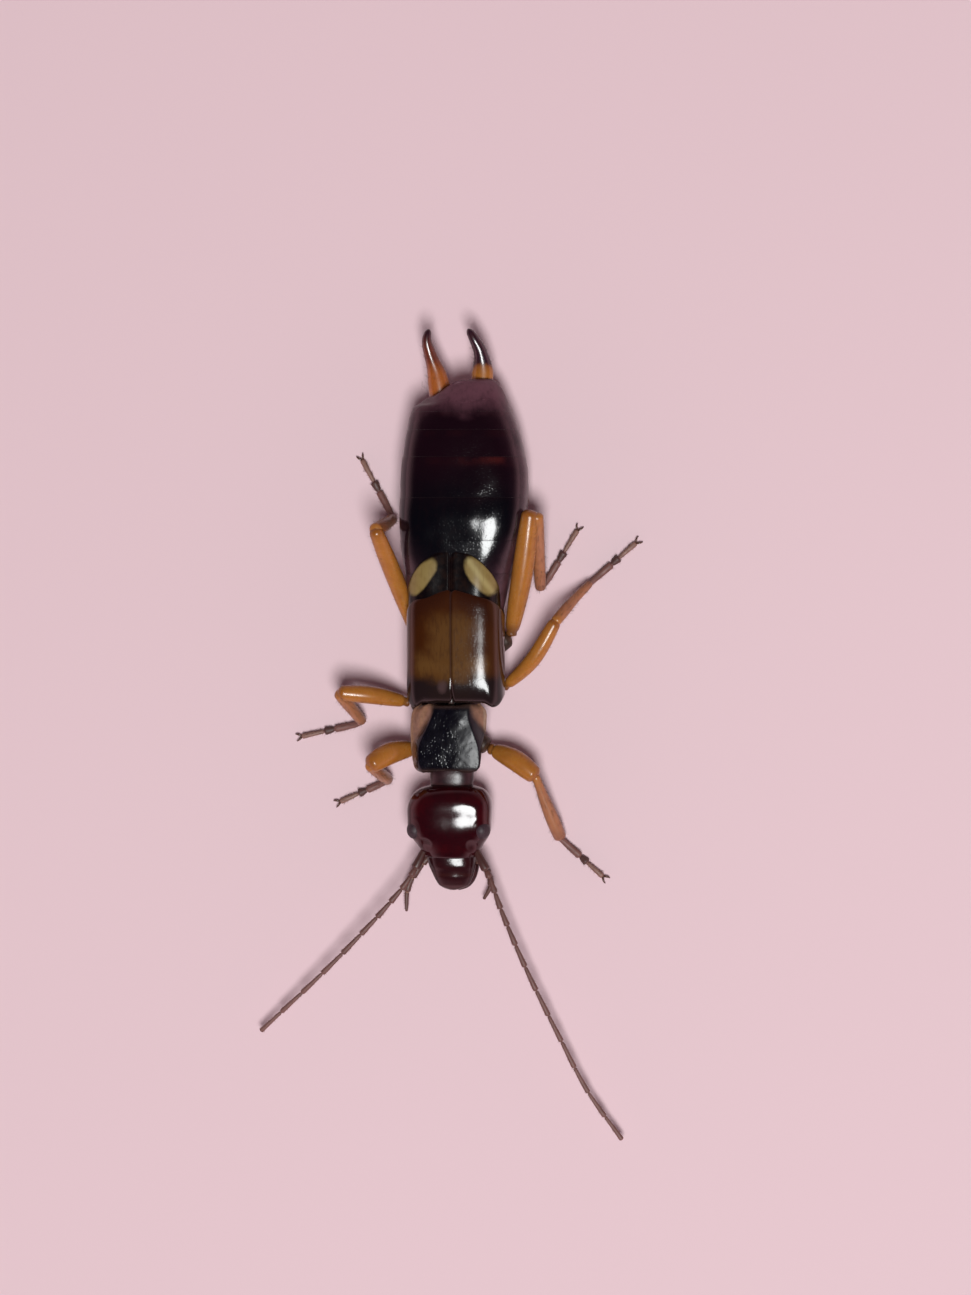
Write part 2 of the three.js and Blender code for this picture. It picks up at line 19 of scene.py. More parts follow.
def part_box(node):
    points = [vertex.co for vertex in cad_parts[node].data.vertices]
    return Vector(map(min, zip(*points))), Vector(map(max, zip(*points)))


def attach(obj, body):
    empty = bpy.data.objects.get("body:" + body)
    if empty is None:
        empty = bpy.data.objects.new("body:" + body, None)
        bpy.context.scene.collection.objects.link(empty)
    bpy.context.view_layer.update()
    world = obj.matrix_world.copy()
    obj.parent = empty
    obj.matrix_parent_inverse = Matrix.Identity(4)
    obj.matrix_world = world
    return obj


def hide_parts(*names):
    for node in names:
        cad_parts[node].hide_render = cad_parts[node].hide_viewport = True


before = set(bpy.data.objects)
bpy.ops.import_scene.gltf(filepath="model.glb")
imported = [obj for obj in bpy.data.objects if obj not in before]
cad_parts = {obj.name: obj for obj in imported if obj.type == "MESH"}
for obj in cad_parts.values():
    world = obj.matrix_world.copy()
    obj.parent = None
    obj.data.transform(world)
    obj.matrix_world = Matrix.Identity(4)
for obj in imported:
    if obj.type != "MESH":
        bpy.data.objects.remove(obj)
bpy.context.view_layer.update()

bl_info = {
    "name": "Earwig",
    "version": (1, 0, 0),
    "blender": (4, 5, 0),
    "location": "3D View > Sidebar > Earwig",
    "description": "Builds a life-size winged earwig and the plain stage it stands on",
    "category": "Object",
}

MM = 0.001
TAU = 2 * math.pi
UP = Vector((0, 0, 1))
WELD = 1e-5                     # points closer than this are one point, in millimetres
SIDES = (("left", 1), ("right", -1))
HEAD_REAR, HEAD_FRONT = -2.36, -4.6
PRONOTUM_FRONT, PRONOTUM_REAR = -2.1, -0.1
PRONOTUM_X = -0.0249            # middle of the pronotum's solid
TEGMEN_FRONT, TEGMEN_REAR = 0.03, 3.0
SUTURE_X = 0.07                 # middle line of the wing cases
WING_TIP = 4.3
PLATE_ENDS = (2.5, 3.6, 4.54, 5.77, 6.94, 7.71, 8.23, 9.12)
TAIL_TURN = 0.05                # the last plate sits askew by this angle
TIBIA_HALF = 0.17               # half width of the shins that their table is made for


def pronotum_shift():
    """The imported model's shift from the animal's own millimetres, read off the pronotum."""
    low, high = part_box("pronotum")
    return Vector(((low[0] + high[0]) / 2 / MM - PRONOTUM_X, high[1] / MM - PRONOTUM_REAR, 0))


SHIFT = pronotum_shift()


# Sizes and colours

def colour(name, description, value):
    return FloatVectorProperty(name=name, description=description, subtype="COLOR", size=4,
                               min=0, max=1, default=(*value, 1))


def share(name, description, value):
    return FloatProperty(name=name, description=description, subtype="FACTOR", min=0, max=1, default=value)


def millimetres(name, description, value):
    return FloatProperty(name=name, description=description, min=0, soft_max=5, precision=3,
                         unit="LENGTH", default=value * MM)


class EarwigSizes(bpy.types.PropertyGroup):
    """Sizes of the finer parts, which the solids hold only coarsely"""
    antenna: millimetres("Antenna", "Half width of the antennae near their base", 0.088)
    tibia: millimetres("Tibia", "Half width of the shins", TIBIA_HALF)
    tarsus: millimetres("Tarsus", "Half width of the feet", 0.095)
    wing_case: millimetres("Wing case", "Thickness of the wing cases", 0.05)
    suture: millimetres("Suture", "Depth of the lines on the head", 0.001)
    plate_step: share("Plate step", "Height of each abdomen plate's rear edge, as a share of its half width",
                      0.004)
    hair: millimetres("Hair", "Length of the hairs on the shins", 0.11)
    hair_seed: IntProperty(name="Hair seed", description="Seed of the draw that places the hairs", default=7)


class EarwigColours(bpy.types.PropertyGroup):
    """Colours of the cuticle, as light values"""
    head: colour("Head", "Dark red-brown of the head", (0.018, 0.0008, 0.0022))
    head_rear: colour("Head rear", "Redder cheeks and rear of the head", (0.045, 0.001, 0.002))
    # The eye colour is dark brown lightened to grey-mauve by a painted sheen.
    eye: colour("Eye", "Eyes", (0.06, 0.032, 0.042))
    mouth: colour("Mouth", "Lip and jaws", (0.017, 0.003, 0.0045))
    mouth_edge: colour("Mouth edge", "Thin edges of the mouthparts", (0.06, 0.016, 0.01))
    antenna: colour("Antenna", "Antennae", (0.1, 0.038, 0.03))
    disc: colour("Pronotum disc", "Raised middle of the pronotum", (0.002, 0.0014, 0.0034))
    margin: colour("Pronotum margin", "Clear side margins of the pronotum", (0.24, 0.125, 0.078))
    wing_case: colour("Wing case", "Middle of the wing cases", (0.036, 0.0085, 0.001))
    shoulder: colour("Shoulder", "Pale shoulder patch of the wing cases", (0.092, 0.041, 0.01))
    # The dark front of the wing cases is partly dark pigment and partly painted shade under the pronotum's
    # rear edge.
    wing_case_front_and_shade: colour("Wing case edge", "Dark front of the wing cases", (0.009, 0.005, 0.0055))
    wing_patch: colour("Wing patch", "Pale patch on the folded wings", (0.2, 0.145, 0.05))
    wing_dark: colour("Wing inner", "Dark inner part of the folded wings", (0.0026, 0.0012, 0.0016))
    abdomen: colour("Abdomen", "Black front plates", (0.0011, 0.0008, 0.002))
    abdomen_rear: colour("Abdomen rear", "Maroon rear plates", (0.006, 0.0007, 0.0026))
    forceps: colour("Forceps", "Clear base of the forceps", (0.3, 0.08, 0.013))
    forceps_tip: colour("Forceps tip", "Dark tip of the forceps", (0.02, 0.003, 0.008))
    leg: colour("Leg", "Amber of the legs", (0.325, 0.122, 0.02))
    knee: colour("Knee", "Darker knees and leg ends", (0.2, 0.065, 0.01))
    tarsus: colour("Tarsus", "Feet", (0.15, 0.062, 0.05))
    underside: colour("Underside", "Plates under the thorax", (0.0175, 0.007, 0.005))
    hair: colour("Hair", "Fine hairs", (0.13, 0.07, 0.035))


class EarwigStage(bpy.types.PropertyGroup):
    """Floor, light and camera"""
    floor: colour("Floor", "Plain pale floor", (0.66, 0.49, 0.52))
    key: FloatProperty(name="Key light", description="Radiance of the soft window light", min=0, default=30)
    sky: FloatProperty(name="Sky", description="Strength of the light from all round", min=0, default=1.35)
    distance: FloatProperty(name="Camera distance", description="From the animal to the camera",
                            unit="LENGTH", min=0.05, default=0.2)


class EarwigSettings(bpy.types.PropertyGroup):
    """Everything that a user may change"""
    sizes: PointerProperty(name="Sizes", description="Sizes of the finer parts", type=EarwigSizes)
    colours: PointerProperty(name="Colours", description="Colours of the cuticle", type=EarwigColours)
    stage: PointerProperty(name="Stage", description="Floor, light and camera", type=EarwigStage)


def sizes():
    return bpy.context.scene.earwig.sizes


def colours():
    return bpy.context.scene.earwig.colours


# Curves and profiles

def track(rows):
    """A smooth run of values through a few stations. Each row is a station and its values."""
    at = [row[0] for row in rows]
    values = [row[1:] for row in rows]
    slopes = []
    for i in range(len(at)):
        a, b = max(i - 1, 0), min(i + 1, len(at) - 1)
        slopes.append([(q - p) / (at[b] - at[a]) for p, q in zip(values[a], values[b])])

    @lru_cache(maxsize=None)
    def read(x):
        x = min(max(x, at[0]), at[-1])
        i = min(max(bisect_right(at, x) - 1, 0), len(at) - 2)
        span = at[i + 1] - at[i]
        t = (x - at[i]) / span
        return tuple(
            p * (1 + 2 * t) * (1 - t) ** 2 + q * t * t * (3 - 2 * t)
            + (m * t * (1 - t) ** 2 + n * t * t * (t - 1)) * span
            for p, q, m, n in zip(values[i], values[i + 1], slopes[i], slopes[i + 1]))
    return read


def mix(a, b, t):
    return a + (b - a) * t


def smooth(low, high, x):
    """0 below low, 1 above high, and smooth between. low may be the larger."""
    t = min(max((x - low) / (high - low), 0), 1)
    return t * t * (3 - 2 * t)


def dome(distance, radius):
    """Share of the full width at a distance from a rounded end."""
    t = min(max(distance / radius, 0), 1)
    return math.sqrt(max(0.0, 1 - (1 - t) ** 2))


def bell(distance, width):
    """1 at no distance, falling off smoothly on both sides."""
    return math.exp(-(distance / width) ** 2)


def eased(count, ease):
    """Shares from 0 to 1, evenly spaced for an ease of 0 and closest together at both ends for 1."""
    return [mix(i / count, 0.5 - 0.5 * math.cos(math.pi * i / count), ease) for i in range(count + 1)]


class Line:
    """A smooth line through a few points, read by the share of its length."""

    FINE = 40               # short lengths from one point to the next

    def __init__(self, *points):
        read = track([(i, *p) for i, p in enumerate(points)])
        total = self.FINE * (len(points) - 1)
        self.points = [Vector(read(i / self.FINE)) for i in range(total + 1)]
        self.reach = [0.0]
        for a, b in zip(self.points, self.points[1:]):
            self.reach.append(self.reach[-1] + (b - a).length)
        self.length = self.reach[-1]

    def at(self, t):
        s = t * self.length
        i = min(max(bisect_right(self.reach, s) - 1, 0), len(self.points) - 2)
        a, b = self.points[i], self.points[i + 1]
        return a + (b - a) * ((s - self.reach[i]) / (self.reach[i + 1] - self.reach[i]))

    def along(self, t):
        return (self.at(min(t + 0.01, 1)) - self.at(max(t - 0.01, 0))).normalized()


class Limb:
    """A round limb along a line. girth(t) gives its half width and half height in millimetres."""

    def __init__(self, line, girth, stops, up=UP):
        self.line, self.girth, self.stops, self.up = line, girth, stops, up
        self.frame = lru_cache(maxsize=None)(self._frame)

    def _frame(self, t):
        along = self.line.along(t)
        across = along.cross(self.up).normalized()
        return self.line.at(t), across, across.cross(along), self.girth(t)

    def point(self, t, angle, lift=0.0):
        centre, across, over, (half, high) = self.frame(t)
        return centre + across * (math.cos(angle) * (half + lift)) + over * (math.sin(angle) * (high + lift))

    def normal(self, t, angle):
        _, across, over, (half, high) = self.frame(t)
        return (across * (math.cos(angle) * high) + over * (math.sin(angle) * half)).normalized()

    def skin(self, columns, relief=None):
        """Closed skin; relief(t, angle) raises it by so many millimetres."""
        last = len(self.stops) - 1

        def shape(u, v):
            t = self.stops[round(v * last)]
            angle = TAU * (u % 1.0)
            return self.point(t, angle, relief(t, angle) if relief and 0 < v < 1 else 0.0)
        return sheet(last, columns, shape)


def tapered_limb(line, girth, caps, rows, ease, up=UP):
    """A limb whose two ends are rounded over the given lengths in millimetres."""
    start, end = caps

    def read(t):
        half, high = girth(t)
        cap = dome(t * line.length, start) * dome((1 - t) * line.length, end)
        return half * cap, high * cap
    return Limb(line, read, eased(rows, ease), up)


def beads(joints, neck, shoulder):
    """Stations and half widths of a limb of several joints, each given as (length, half
    width at its base, half width at its end). neck is the share of the width that is left
    between two joints, and shoulder the length over which it comes back."""
    stops, at = [(0.0, 0.0)], 0.0
    for length, base, end in joints:
        s = min(shoulder, length * 0.22)
        stops += [
            (at + 0.12 * s, base * neck), (at + 0.55 * s, base * 0.88), (at + s, base * 0.97),
            (at + 0.35 * length, mix(base, end, 0.3) * 0.97), (at + 0.65 * length, mix(base, end, 0.65)),
            (at + length - s, end), (at + length - 0.45 * s, end * 0.93),
            (at + length - 0.12 * s, end * neck)]
        at += length
    stops.append((at, 0.0))
    return [(s / at, half) for s, half in stops]


def beaded_limb(line, joints, flat=1.0, neck=0.62, shoulder=0.05):
    """A limb of several joints along a line. flat is its height as a share of its width."""
    stops = beads(joints, neck, shoulder)
    at = [s for s, _ in stops]

    def girth(t):
        i = min(max(bisect_right(at, t) - 1, 0), len(at) - 2)
        (s, half), (s2, half2) = stops[i], stops[i + 1]
        half = mix(half, half2, (t - s) / (s2 - s)) if s2 > s else half2
        return half, half * flat
    return Limb(line, girth, at)


# Meshes

def fresh(layer="UVMap"):
    """An empty shape with a UV map."""
    bm = bmesh.new()
    bm.loops.layers.uv.new(layer)
    return bm


def sheet(rows, columns, shape):
    """A grid of faces carried onto a surface: shape(u, v) is a place on it."""
    bm = fresh()
    bmesh.ops.create_grid(bm, x_segments=columns, y_segments=rows, size=0.5, calc_uvs=True)
    for vert in bm.verts:
        vert.co = shape(vert.co.x + 0.5, vert.co.y + 0.5)
    bmesh.ops.remove_doubles(bm, verts=bm.verts, dist=WELD)
    bmesh.ops.recalc_face_normals(bm, faces=bm.faces)
    return bm


def rim(t, faces, across):
    """0 at both ends of a run of faces and 1 past the first few of them."""
    return min(1.0, 4 * t * (1 - t) * faces / across) ** 0.5


def leaf(rows, columns, face, thick):
    """A thin closed plate. face(q, v) is its upper surface, thick(q, v) its
    thickness below that, and it thins out to a rounded edge all round."""
    around, down = eased(columns // 2, 1.0), eased(rows, 0.6)
    step = 0.004

    def shape(u, v):
        i = round(u * columns) % columns
        q = around[i] if i <= columns // 2 else around[columns - i]
        v = down[round(v * rows)]
        a, b = min(q + step, 1), max(q - step, 0)
        c, d = min(v + step, 1), max(v - step, 0)
        normal = (face(a, v) - face(b, v)).cross(face(q, c) - face(q, d))
        normal = normal.normalized() if normal.length > 1e-12 else UP
        if normal.dot(UP) < 0:
            normal = -normal
        edge = rim(q, columns, 18) * rim(v, rows, 14)
        sunk = 0.5 - 0.5 * edge if i <= columns // 2 else 0.5 + 0.5 * edge
        return face(q, v) - normal * thick(q, v) * sunk
    return sheet(rows, columns, shape)


def join(*parts):
    """Puts several shapes in the first one's mesh."""
    whole = parts[0]
    for part in parts[1:]:
        mesh = bpy.data.meshes.new("joined")
        part.to_mesh(mesh)
        part.free()
        whole.from_mesh(mesh)
        bpy.data.meshes.remove(mesh)
    return whole


def add(name, data):
    """Puts an object into the scene."""
    made = bpy.data.objects.new(name, data)
    bpy.context.scene.collection.objects.link(made)
    return made


def piece(name, shape, finish, slot, *nodes):
    """Carries a shape into the row frame and makes it a piece that rides on the
    body and stands for the named CAD nodes."""
    bmesh.ops.translate(shape, vec=SHIFT, verts=shape.verts)
    bmesh.ops.scale(shape, vec=(MM, MM, MM), verts=shape.verts)
    mesh = bpy.data.meshes.new(name)
    shape.to_mesh(mesh)
    shape.free()
    mesh.shade_smooth()
    mesh.materials.append(finish)
    made = add(name, mesh)
    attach(made, "root")
    if nodes:
        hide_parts(*nodes)


def set_along(place, lie):
    """Turns a shape's Z axis to a direction and its middle to a place."""
    return Matrix.Translation(place) @ lie.to_track_quat("Z", "Y").to_matrix().to_4x4()


def cone(root, lie, length, base):
    """A small pointed cone rooted at a point."""
    bm = fresh()
    bmesh.ops.create_cone(bm, cap_ends=True, segments=8, radius1=base, radius2=0.0, depth=length,
                          matrix=set_along(root + lie * (length / 2), lie))
    bmesh.ops.remove_doubles(bm, verts=bm.verts, dist=WELD)
    return bm


class Down:
    """Fine hairs in one mesh. Each has its own small patch in the map OFBake, which
    is divided into square tiles, one for each limb or plate."""

    TILES = 7               # tiles in a row of the map
    MARGIN, SPAN = 0.04, 0.9
    PATCH = 0.003           # size of one hair's patch
    BATCH = 60
    LEAN = 0.9

    def __init__(self, seed):
        self.bm, self.loose, self.count = fresh("OFBake"), fresh("OFBake"), 0
        self.draw = random.Random(seed)
        self.tile = -1

    def next_tile(self):
        self.tile += 1

    def gather(self):
        """Moves the loose hairs into the one mesh, as an operator slows down on a large one."""
        self.bm, self.loose = join(self.bm, self.loose), fresh("OFBake")

    def hair(self, root, lie, length, thick, u, v):
        if (root + lie * length).z < 2 * thick:
            return
        made = bmesh.ops.create_cone(
            self.loose, cap_ends=True, segments=3, radius1=thick, radius2=thick * 0.12, depth=length,
            matrix=set_along(root + lie * (length / 2 - thick), lie))
        corner = Vector(((self.tile % self.TILES + self.MARGIN + self.SPAN * (u % 1.0)) / self.TILES,
                         (self.tile // self.TILES + self.MARGIN + self.SPAN * v) / self.TILES))
        patch = self.loose.loops.layers.uv["OFBake"]
        for i, vert in enumerate(made["verts"]):
            for loop in vert.link_loops:
                loop[patch].uv = corner + Vector((self.PATCH * (i % 3) / 2, self.PATCH * (i // 3)))
        self.count += 1
        if self.count % self.BATCH == 0:
            self.gather()

    def limb(self, limb, count, start, end, length, thick):
        """Hairs over a limb, leaning towards its tip."""
        self.next_tile()
        for _ in range(count):
            t, angle = self.draw.uniform(start, end), self.draw.uniform(0, TAU)
            out, along = limb.normal(t, angle), limb.line.along(t)
            side = out.cross(along) * self.draw.uniform(-0.25, 0.25)
            lie = (out + along * self.LEAN * self.draw.uniform(0.7, 1.3) + side).normalized()
            self.hair(limb.point(t, angle), lie, length * self.draw.uniform(0.6, 1.2), thick, angle / TAU, t)


HAIRY = []      # limbs that carry hairs: limb, count, start, end, length, thickness


# Materials

class Wire:
    """A value on its way through a material. Sums on it add Math nodes."""

    def __init__(self, finish, socket):
        self.finish, self.socket = finish, socket

    def maths(self, operation, *others):
        values = dict(enumerate((self, *others)))
        return self.finish.node("ShaderNodeMath", {"operation": operation}, values)

    def __add__(self, other):
        return self.maths("ADD", other)

    __radd__ = __add__

    def __mul__(self, other):
        return self.maths("MULTIPLY", other)

    __rmul__ = __mul__

    def __sub__(self, other):
        return self.maths("SUBTRACT", other)

    def __rsub__(self, other):
        return self.finish.node("ShaderNodeMath", {"operation": "SUBTRACT"}, {0: other, 1: self})

    def __truediv__(self, other):
        return self.maths("DIVIDE", other)

    def __pow__(self, other):
        return self.maths("POWER", other)

    def __abs__(self):
        return self.maths("ABSOLUTE")

    def fraction(self):
        return self.maths("FRACT")

    def least(self, other):
        return self.maths("MINIMUM", other)

    def most(self, other):
        return self.maths("MAXIMUM", other)

    def between(self, low, high):
        """0 at low, 1 at high, smooth between."""
        return self.finish.node("ShaderNodeMapRange", {"interpolation_type": "SMOOTHSTEP"},
                                {0: self, 1: low, 2: high})

    def near(self, width):
        """1 where the value is 0, and 0 from a width on either side of it."""
        return abs(self).between(width, 0.0)


class Finish:
    """One cuticle or other surface, built from nodes."""

    def __init__(self, name, owner=None):
        self.material = owner or bpy.data.materials.new(name)
        self.material.use_nodes = True
        self.tree = self.material.node_tree
        self.tree.nodes.clear()

    def node(self, kind, settings=None, inputs=None, out=0):
        """Adds a node, sets it, fills or links its sockets and gives one of its outputs."""
        made = self.tree.nodes.new(kind)
        for key, value in (settings or {}).items():
            setattr(made, key, value)
        for key, value in (inputs or {}).items():
            if isinstance(value, Wire):
                self.tree.links.new(value.socket, made.inputs[key])
            elif value is not None:
                made.inputs[key].default_value = value
        return Wire(self, made.outputs[out]) if len(made.outputs) else made

    @lru_cache(maxsize=None)
    def place(self):
        """Coordinates in the animal's own millimetres."""
        seen = self.node("ShaderNodeTexCoord", out="Object")
        return self.node("ShaderNodeMapping", {"vector_type": "POINT"},
                         {"Vector": seen, "Location": -SHIFT, "Scale": (1 / MM,) * 3})

    @lru_cache(maxsize=None)
    def axis(self, letter):
        return self.node("ShaderNodeSeparateXYZ", inputs={0: self.place()}, out="XYZ".index(letter))

    @lru_cache(maxsize=None)
    def on_skin(self, index):
        """Share of the way round (0) or along (1) the piece's own surface."""
        uv = self.node("ShaderNodeUVMap", {"uv_map": "UVMap"})
        return self.node("ShaderNodeSeparateXYZ", inputs={0: uv}, out=index)

    def grain(self, scale, detail=3.0, along=1.0):
        """Noise, drawn out along the body where along is below 1."""
        where = self.place()
        if along != 1.0:
            where = self.node("ShaderNodeVectorMath", {"operation": "MULTIPLY"},
                              {0: where, 1: (1.0, along, 1.0)})
        return self.node("ShaderNodeTexNoise", {}, {
            "Vector": where, "Scale": scale, "Detail": detail, "Roughness": 0.55})

    def cells(self, scale, uneven):
        """Distance from the nearest of many small centres."""
        return self.node("ShaderNodeTexVoronoi", {"feature": "F1"}, {
            "Vector": self.place(), "Scale": scale, "Randomness": uneven})

    def pits(self, scale, size=0.35):
        """1 on the flat and 0 in small round pits."""
        return self.cells(scale, 0.85).between(size * 0.3, size)

    def blend(self, factor, first, second):
        """Colour that goes from the first to the second as the factor goes from 0 to 1."""
        return self.node("ShaderNodeMix", {"data_type": "RGBA"}, {0: factor, 6: first, 7: second}, out=2)

    def layers(self, tone, *coats):
        """A colour with others over it. Each coat is a mask and the colour that it lays on."""
        for mask, over in coats:
            tone = self.blend(mask, tone, over)
        return tone

    def surface(self, base, rough, height=None, depth=None, coat=None, glow=None, **fixed):
        """Finishes the material. depth is the height's reach in millimetres. glow is the light
        inside the cuticle: its weight, its spread in each colour and its reach in millimetres."""
        values = {"Base Color": base, "Roughness": rough, "Coat Weight": coat}
        if height is not None:
            values["Normal"] = self.node("ShaderNodeBump", {}, {
                "Height": height, "Strength": 1.0, "Distance": depth * MM})
        if glow:
            weight, spread, reach = glow
            values.update({"Subsurface Weight": weight, "Subsurface Radius": spread,
                           "Subsurface Scale": reach * MM})
        for key, value in fixed.items():
            values[key.replace("_", " ").title().replace("Ior", "IOR")] = value
        shader = self.node("ShaderNodeBsdfPrincipled", {}, values)
        self.node("ShaderNodeOutputMaterial", {}, {"Surface": shader})
        return self.material


def head_cuticle():
    f, c = Finish("head cuticle"), colours()
    x, y, z = f.axis("X"), f.axis("Y"), f.axis("Z")
    cheek = abs(x + 0.08).between(0.45, 1.15)
    rear = y.between(-3.25, -2.5)
    front_arms = (y + 4.25).near(0.25)
    red = (cheek * 0.7 + rear * 0.5 + front_arms * 0.35) * f.grain(1.6).between(0.25, 0.65)
    mottle = f.grain(9.0, 5.0)
    tone = f.layers(
        c.head,
        (red, c.head_rear),
        (z.between(1.15, 0.6) * 0.5, (0.025, 0.006, 0.005, 1)),
        (mottle.between(0.45, 0.75) * 0.35, (0.004, 0.001, 0.0015, 1)))
    pits = f.pits(11.0)
    rough = 0.07 + f.grain(5.0, 4.0) * 0.06 + (1 - pits) * 0.03
    height = pits * 0.15 + f.grain(26.0) * 0.1 + f.grain(2.5, 2.0) * 0.8 + f.grain(7.0) * 0.25
    return f.surface(tone, rough, height, 0.0015, coat=0.2 - 0.1 * mottle, coat_roughness=0.1,
                     specular_ior_level=0.36)


def eye_facets():
    f, c = Finish("eye facets"), colours()
    facets = f.cells(34.0, 0.2)
    cloud = f.grain(4.0)
    # c.eye carries a painted grey-mauve sheen over the dark eye.
    tone = f.layers(
        c.eye,
        (facets.between(0.1, 0.7) * 0.8, (0.002, 0.001, 0.0015, 1)),
        (cloud.between(0.5, 0.8) * 0.4, (0.03, 0.015, 0.0175, 1)))
    return f.surface(tone, 0.42 + cloud * 0.16, 1 - facets, 0.004, specular_ior_level=0.35)


def mouth_cuticle():
    f, c = Finish("mouth cuticle"), colours()
    y = f.axis("Y")
    cloud = f.grain(4.0, 4.0)
    membrane = (y + 5.0).near(0.1)
    edge = y.between(-5.2, -5.42)
    tone = f.layers(
        c.mouth,
        (cloud.between(0.35, 0.75) * 0.5, (0.03, 0.004, 0.0045, 1)),
        (membrane * 0.2 + edge * 0.3, c.mouth_edge))
    rough = 0.1 + cloud * 0.08 + f.grain(24.0) * 0.04
    return f.surface(tone, rough, f.pits(14.0) * 0.5 + f.grain(30.0) * 0.3, 0.002, coat=0.15 - 0.1 * cloud,
                     coat_roughness=0.12, specular_ior_level=0.35)


def palp_cuticle(joints):
    """Thin-walled joints with paler ends."""
    f, c = Finish(f"palp cuticle {joints}"), colours()
    along = (f.on_skin(1) * joints).fraction()
    ends = (along.between(0.75, 1.0) + along.between(0.2, 0.0)).least(1.0)
    cloud = f.grain(6.0)
    tone = f.layers(
        (0.075, 0.03, 0.0225, 1),
        (ends, (0.21, 0.11, 0.07, 1)),
        (cloud.between(0.4, 0.8) * 0.6, c.antenna))
    return f.surface(tone, 0.38 + cloud * 0.2, f.grain(30.0, 4.0), 0.005)


def antenna_cuticle(joints):
    """A dark first joint and lighter ones beyond, each paler at its ends."""
    f, c = Finish(f"antenna cuticle {joints}"), colours()
    along = f.on_skin(1) * joints
    part = along.fraction()
    ends = (part.between(0.8, 1.0) + part.between(0.16, 0.0)).least(1.0)
    cloud = f.grain(5.0, 4.0)
    tone = f.layers(
        c.antenna,
        (f.on_skin(1).between(0.1, 1.0), (0.15, 0.068, 0.056, 1)),
        (ends * 0.4, (0.16, 0.085, 0.065, 1)),
        (along.between(1.4, 0.6) * 0.8, (0.035, 0.009, 0.007, 1)),
        (cloud.between(0.45, 0.75) * 0.4, (0.0425, 0.0165, 0.015, 1)))
    rough = 0.3 + along.between(0.5, 2.5) * 0.15 + cloud * 0.15
    return f.surface(tone, rough, f.grain(60.0, 2.0, along=0.45), 0.004)


def pronotum_cuticle():
    """A black disc, rougher on its left half, between clear margins."""
    f, c = Finish("pronotum cuticle"), colours()
    x, y = f.axis("X"), f.axis("Y")
    out = abs(x - 0.05)
    wander = (f.grain(2.2) - 0.5) * 0.12
    edge = 1.04 - y.between(-1.3, -0.25) * 0.48
    disc = (out + wander - edge).between(0.1, -0.08)
    rear = y.between(-0.3, -0.12) * 0.25
    front = y.between(-1.9, -2.06) * 0.15
    clear = ((1 - disc) + rear + front).least(1.0)
    margin = f.layers(
        c.margin,
        (f.grain(7.0, 4.0).between(0.35, 0.75) * 0.55, (0.1, 0.0475, 0.0275, 1)),
        # A paler line along the outer edge of each margin is a painted highlight.
        (abs(x + 0.13).between(1.0, 1.09) * 0.4, (0.25, 0.185, 0.135, 1)),
        ((out - edge).between(0.2, 0.0) * 0.4, (0.045, 0.0225, 0.015, 1)))
    black = f.blend(f.grain(3.0, 5.0).between(0.4, 0.8) * 0.7, c.disc, (0.008, 0.007, 0.011, 1))
    pits = f.pits(12.0, 0.4)
    rough = 0.07 + x.between(-0.1, 0.5) * 0.24 + f.grain(6.0, 5.0) * 0.06 + (1 - pits) * 0.04 + clear * 0.2
    height = pits * 0.5 + f.grain(4.5, 4.0) * (0.4 + x.between(-0.1, 0.4) * 0.5) + f.grain(22.0) * 0.2
    return f.surface(f.blend(clear, black, margin), rough, height, 0.003, specular_ior_level=0.33,
                     glow=(0.12, (1, 0.6, 0.4), 0.15))


def wing_case_leather():
    f, c = Finish("wing case leather"), colours()
    x, y = f.axis("X") - SUTURE_X, f.axis("Y")
    out = abs(x)
    wander = f.grain(1.7, 4.0) - 0.5
    fibre = f.grain(15.0, 5.0, along=0.22)
    shoulder = (y - 0.95 + wander * 0.5).near(0.6) * (out + wander * 0.4).between(1.25, 0.85)
    inner = (out + wander * 0.5).between(0.85, 0.35) * (y + wander * 0.8).between(2.8, 1.9)
    # front: the dark band at the front of the wing cases, partly pigment and partly painted shade under the
    # pronotum.
    front = (y + wander * 0.5 - out * 0.12).between(0.72, 0.34)
    side = (out + wander * 0.25).between(1.0, 1.3)
    rear = (y + out * 0.9 + wander * 0.7).between(2.75, 3.45)
    seam = out.between(0.08, 0.01)
    # A small pinkish spot near the front of the suture is a painted glint.
    painted_glint = (((f.axis("X") + 0.2) / 0.15) ** 2 + ((y - 0.4) / 0.2) ** 2 + wander * 2.5).between(1.7, -0.3)
    tone = f.layers(
        c.wing_case,
        ((shoulder * 0.95).most(inner * 0.8), c.shoulder),
        (fibre.between(0.45, 0.72) * 0.4, (0.026, 0.007, 0.0016, 1)),
        (rear * 0.7, (0.02, 0.004, 0.0016, 1)),
        (side * 0.65, (0.05, 0.018, 0.007, 1)),
        (front * 0.95, c.wing_case_front_and_shade),
        (seam * 0.6, (0.012, 0.004, 0.003, 1)),
        (painted_glint * 0.7, (0.07, 0.04, 0.04, 1)))
    rough = 0.08 + fibre * 0.07 + f.grain(4.0) * 0.04
    height = fibre * 0.7 + f.pits(15.0, 0.4) * 0.5 + f.grain(3.5, 4.0) * 0.9
    return f.surface(tone, rough, height, 0.0014, specular_ior_level=0.4)


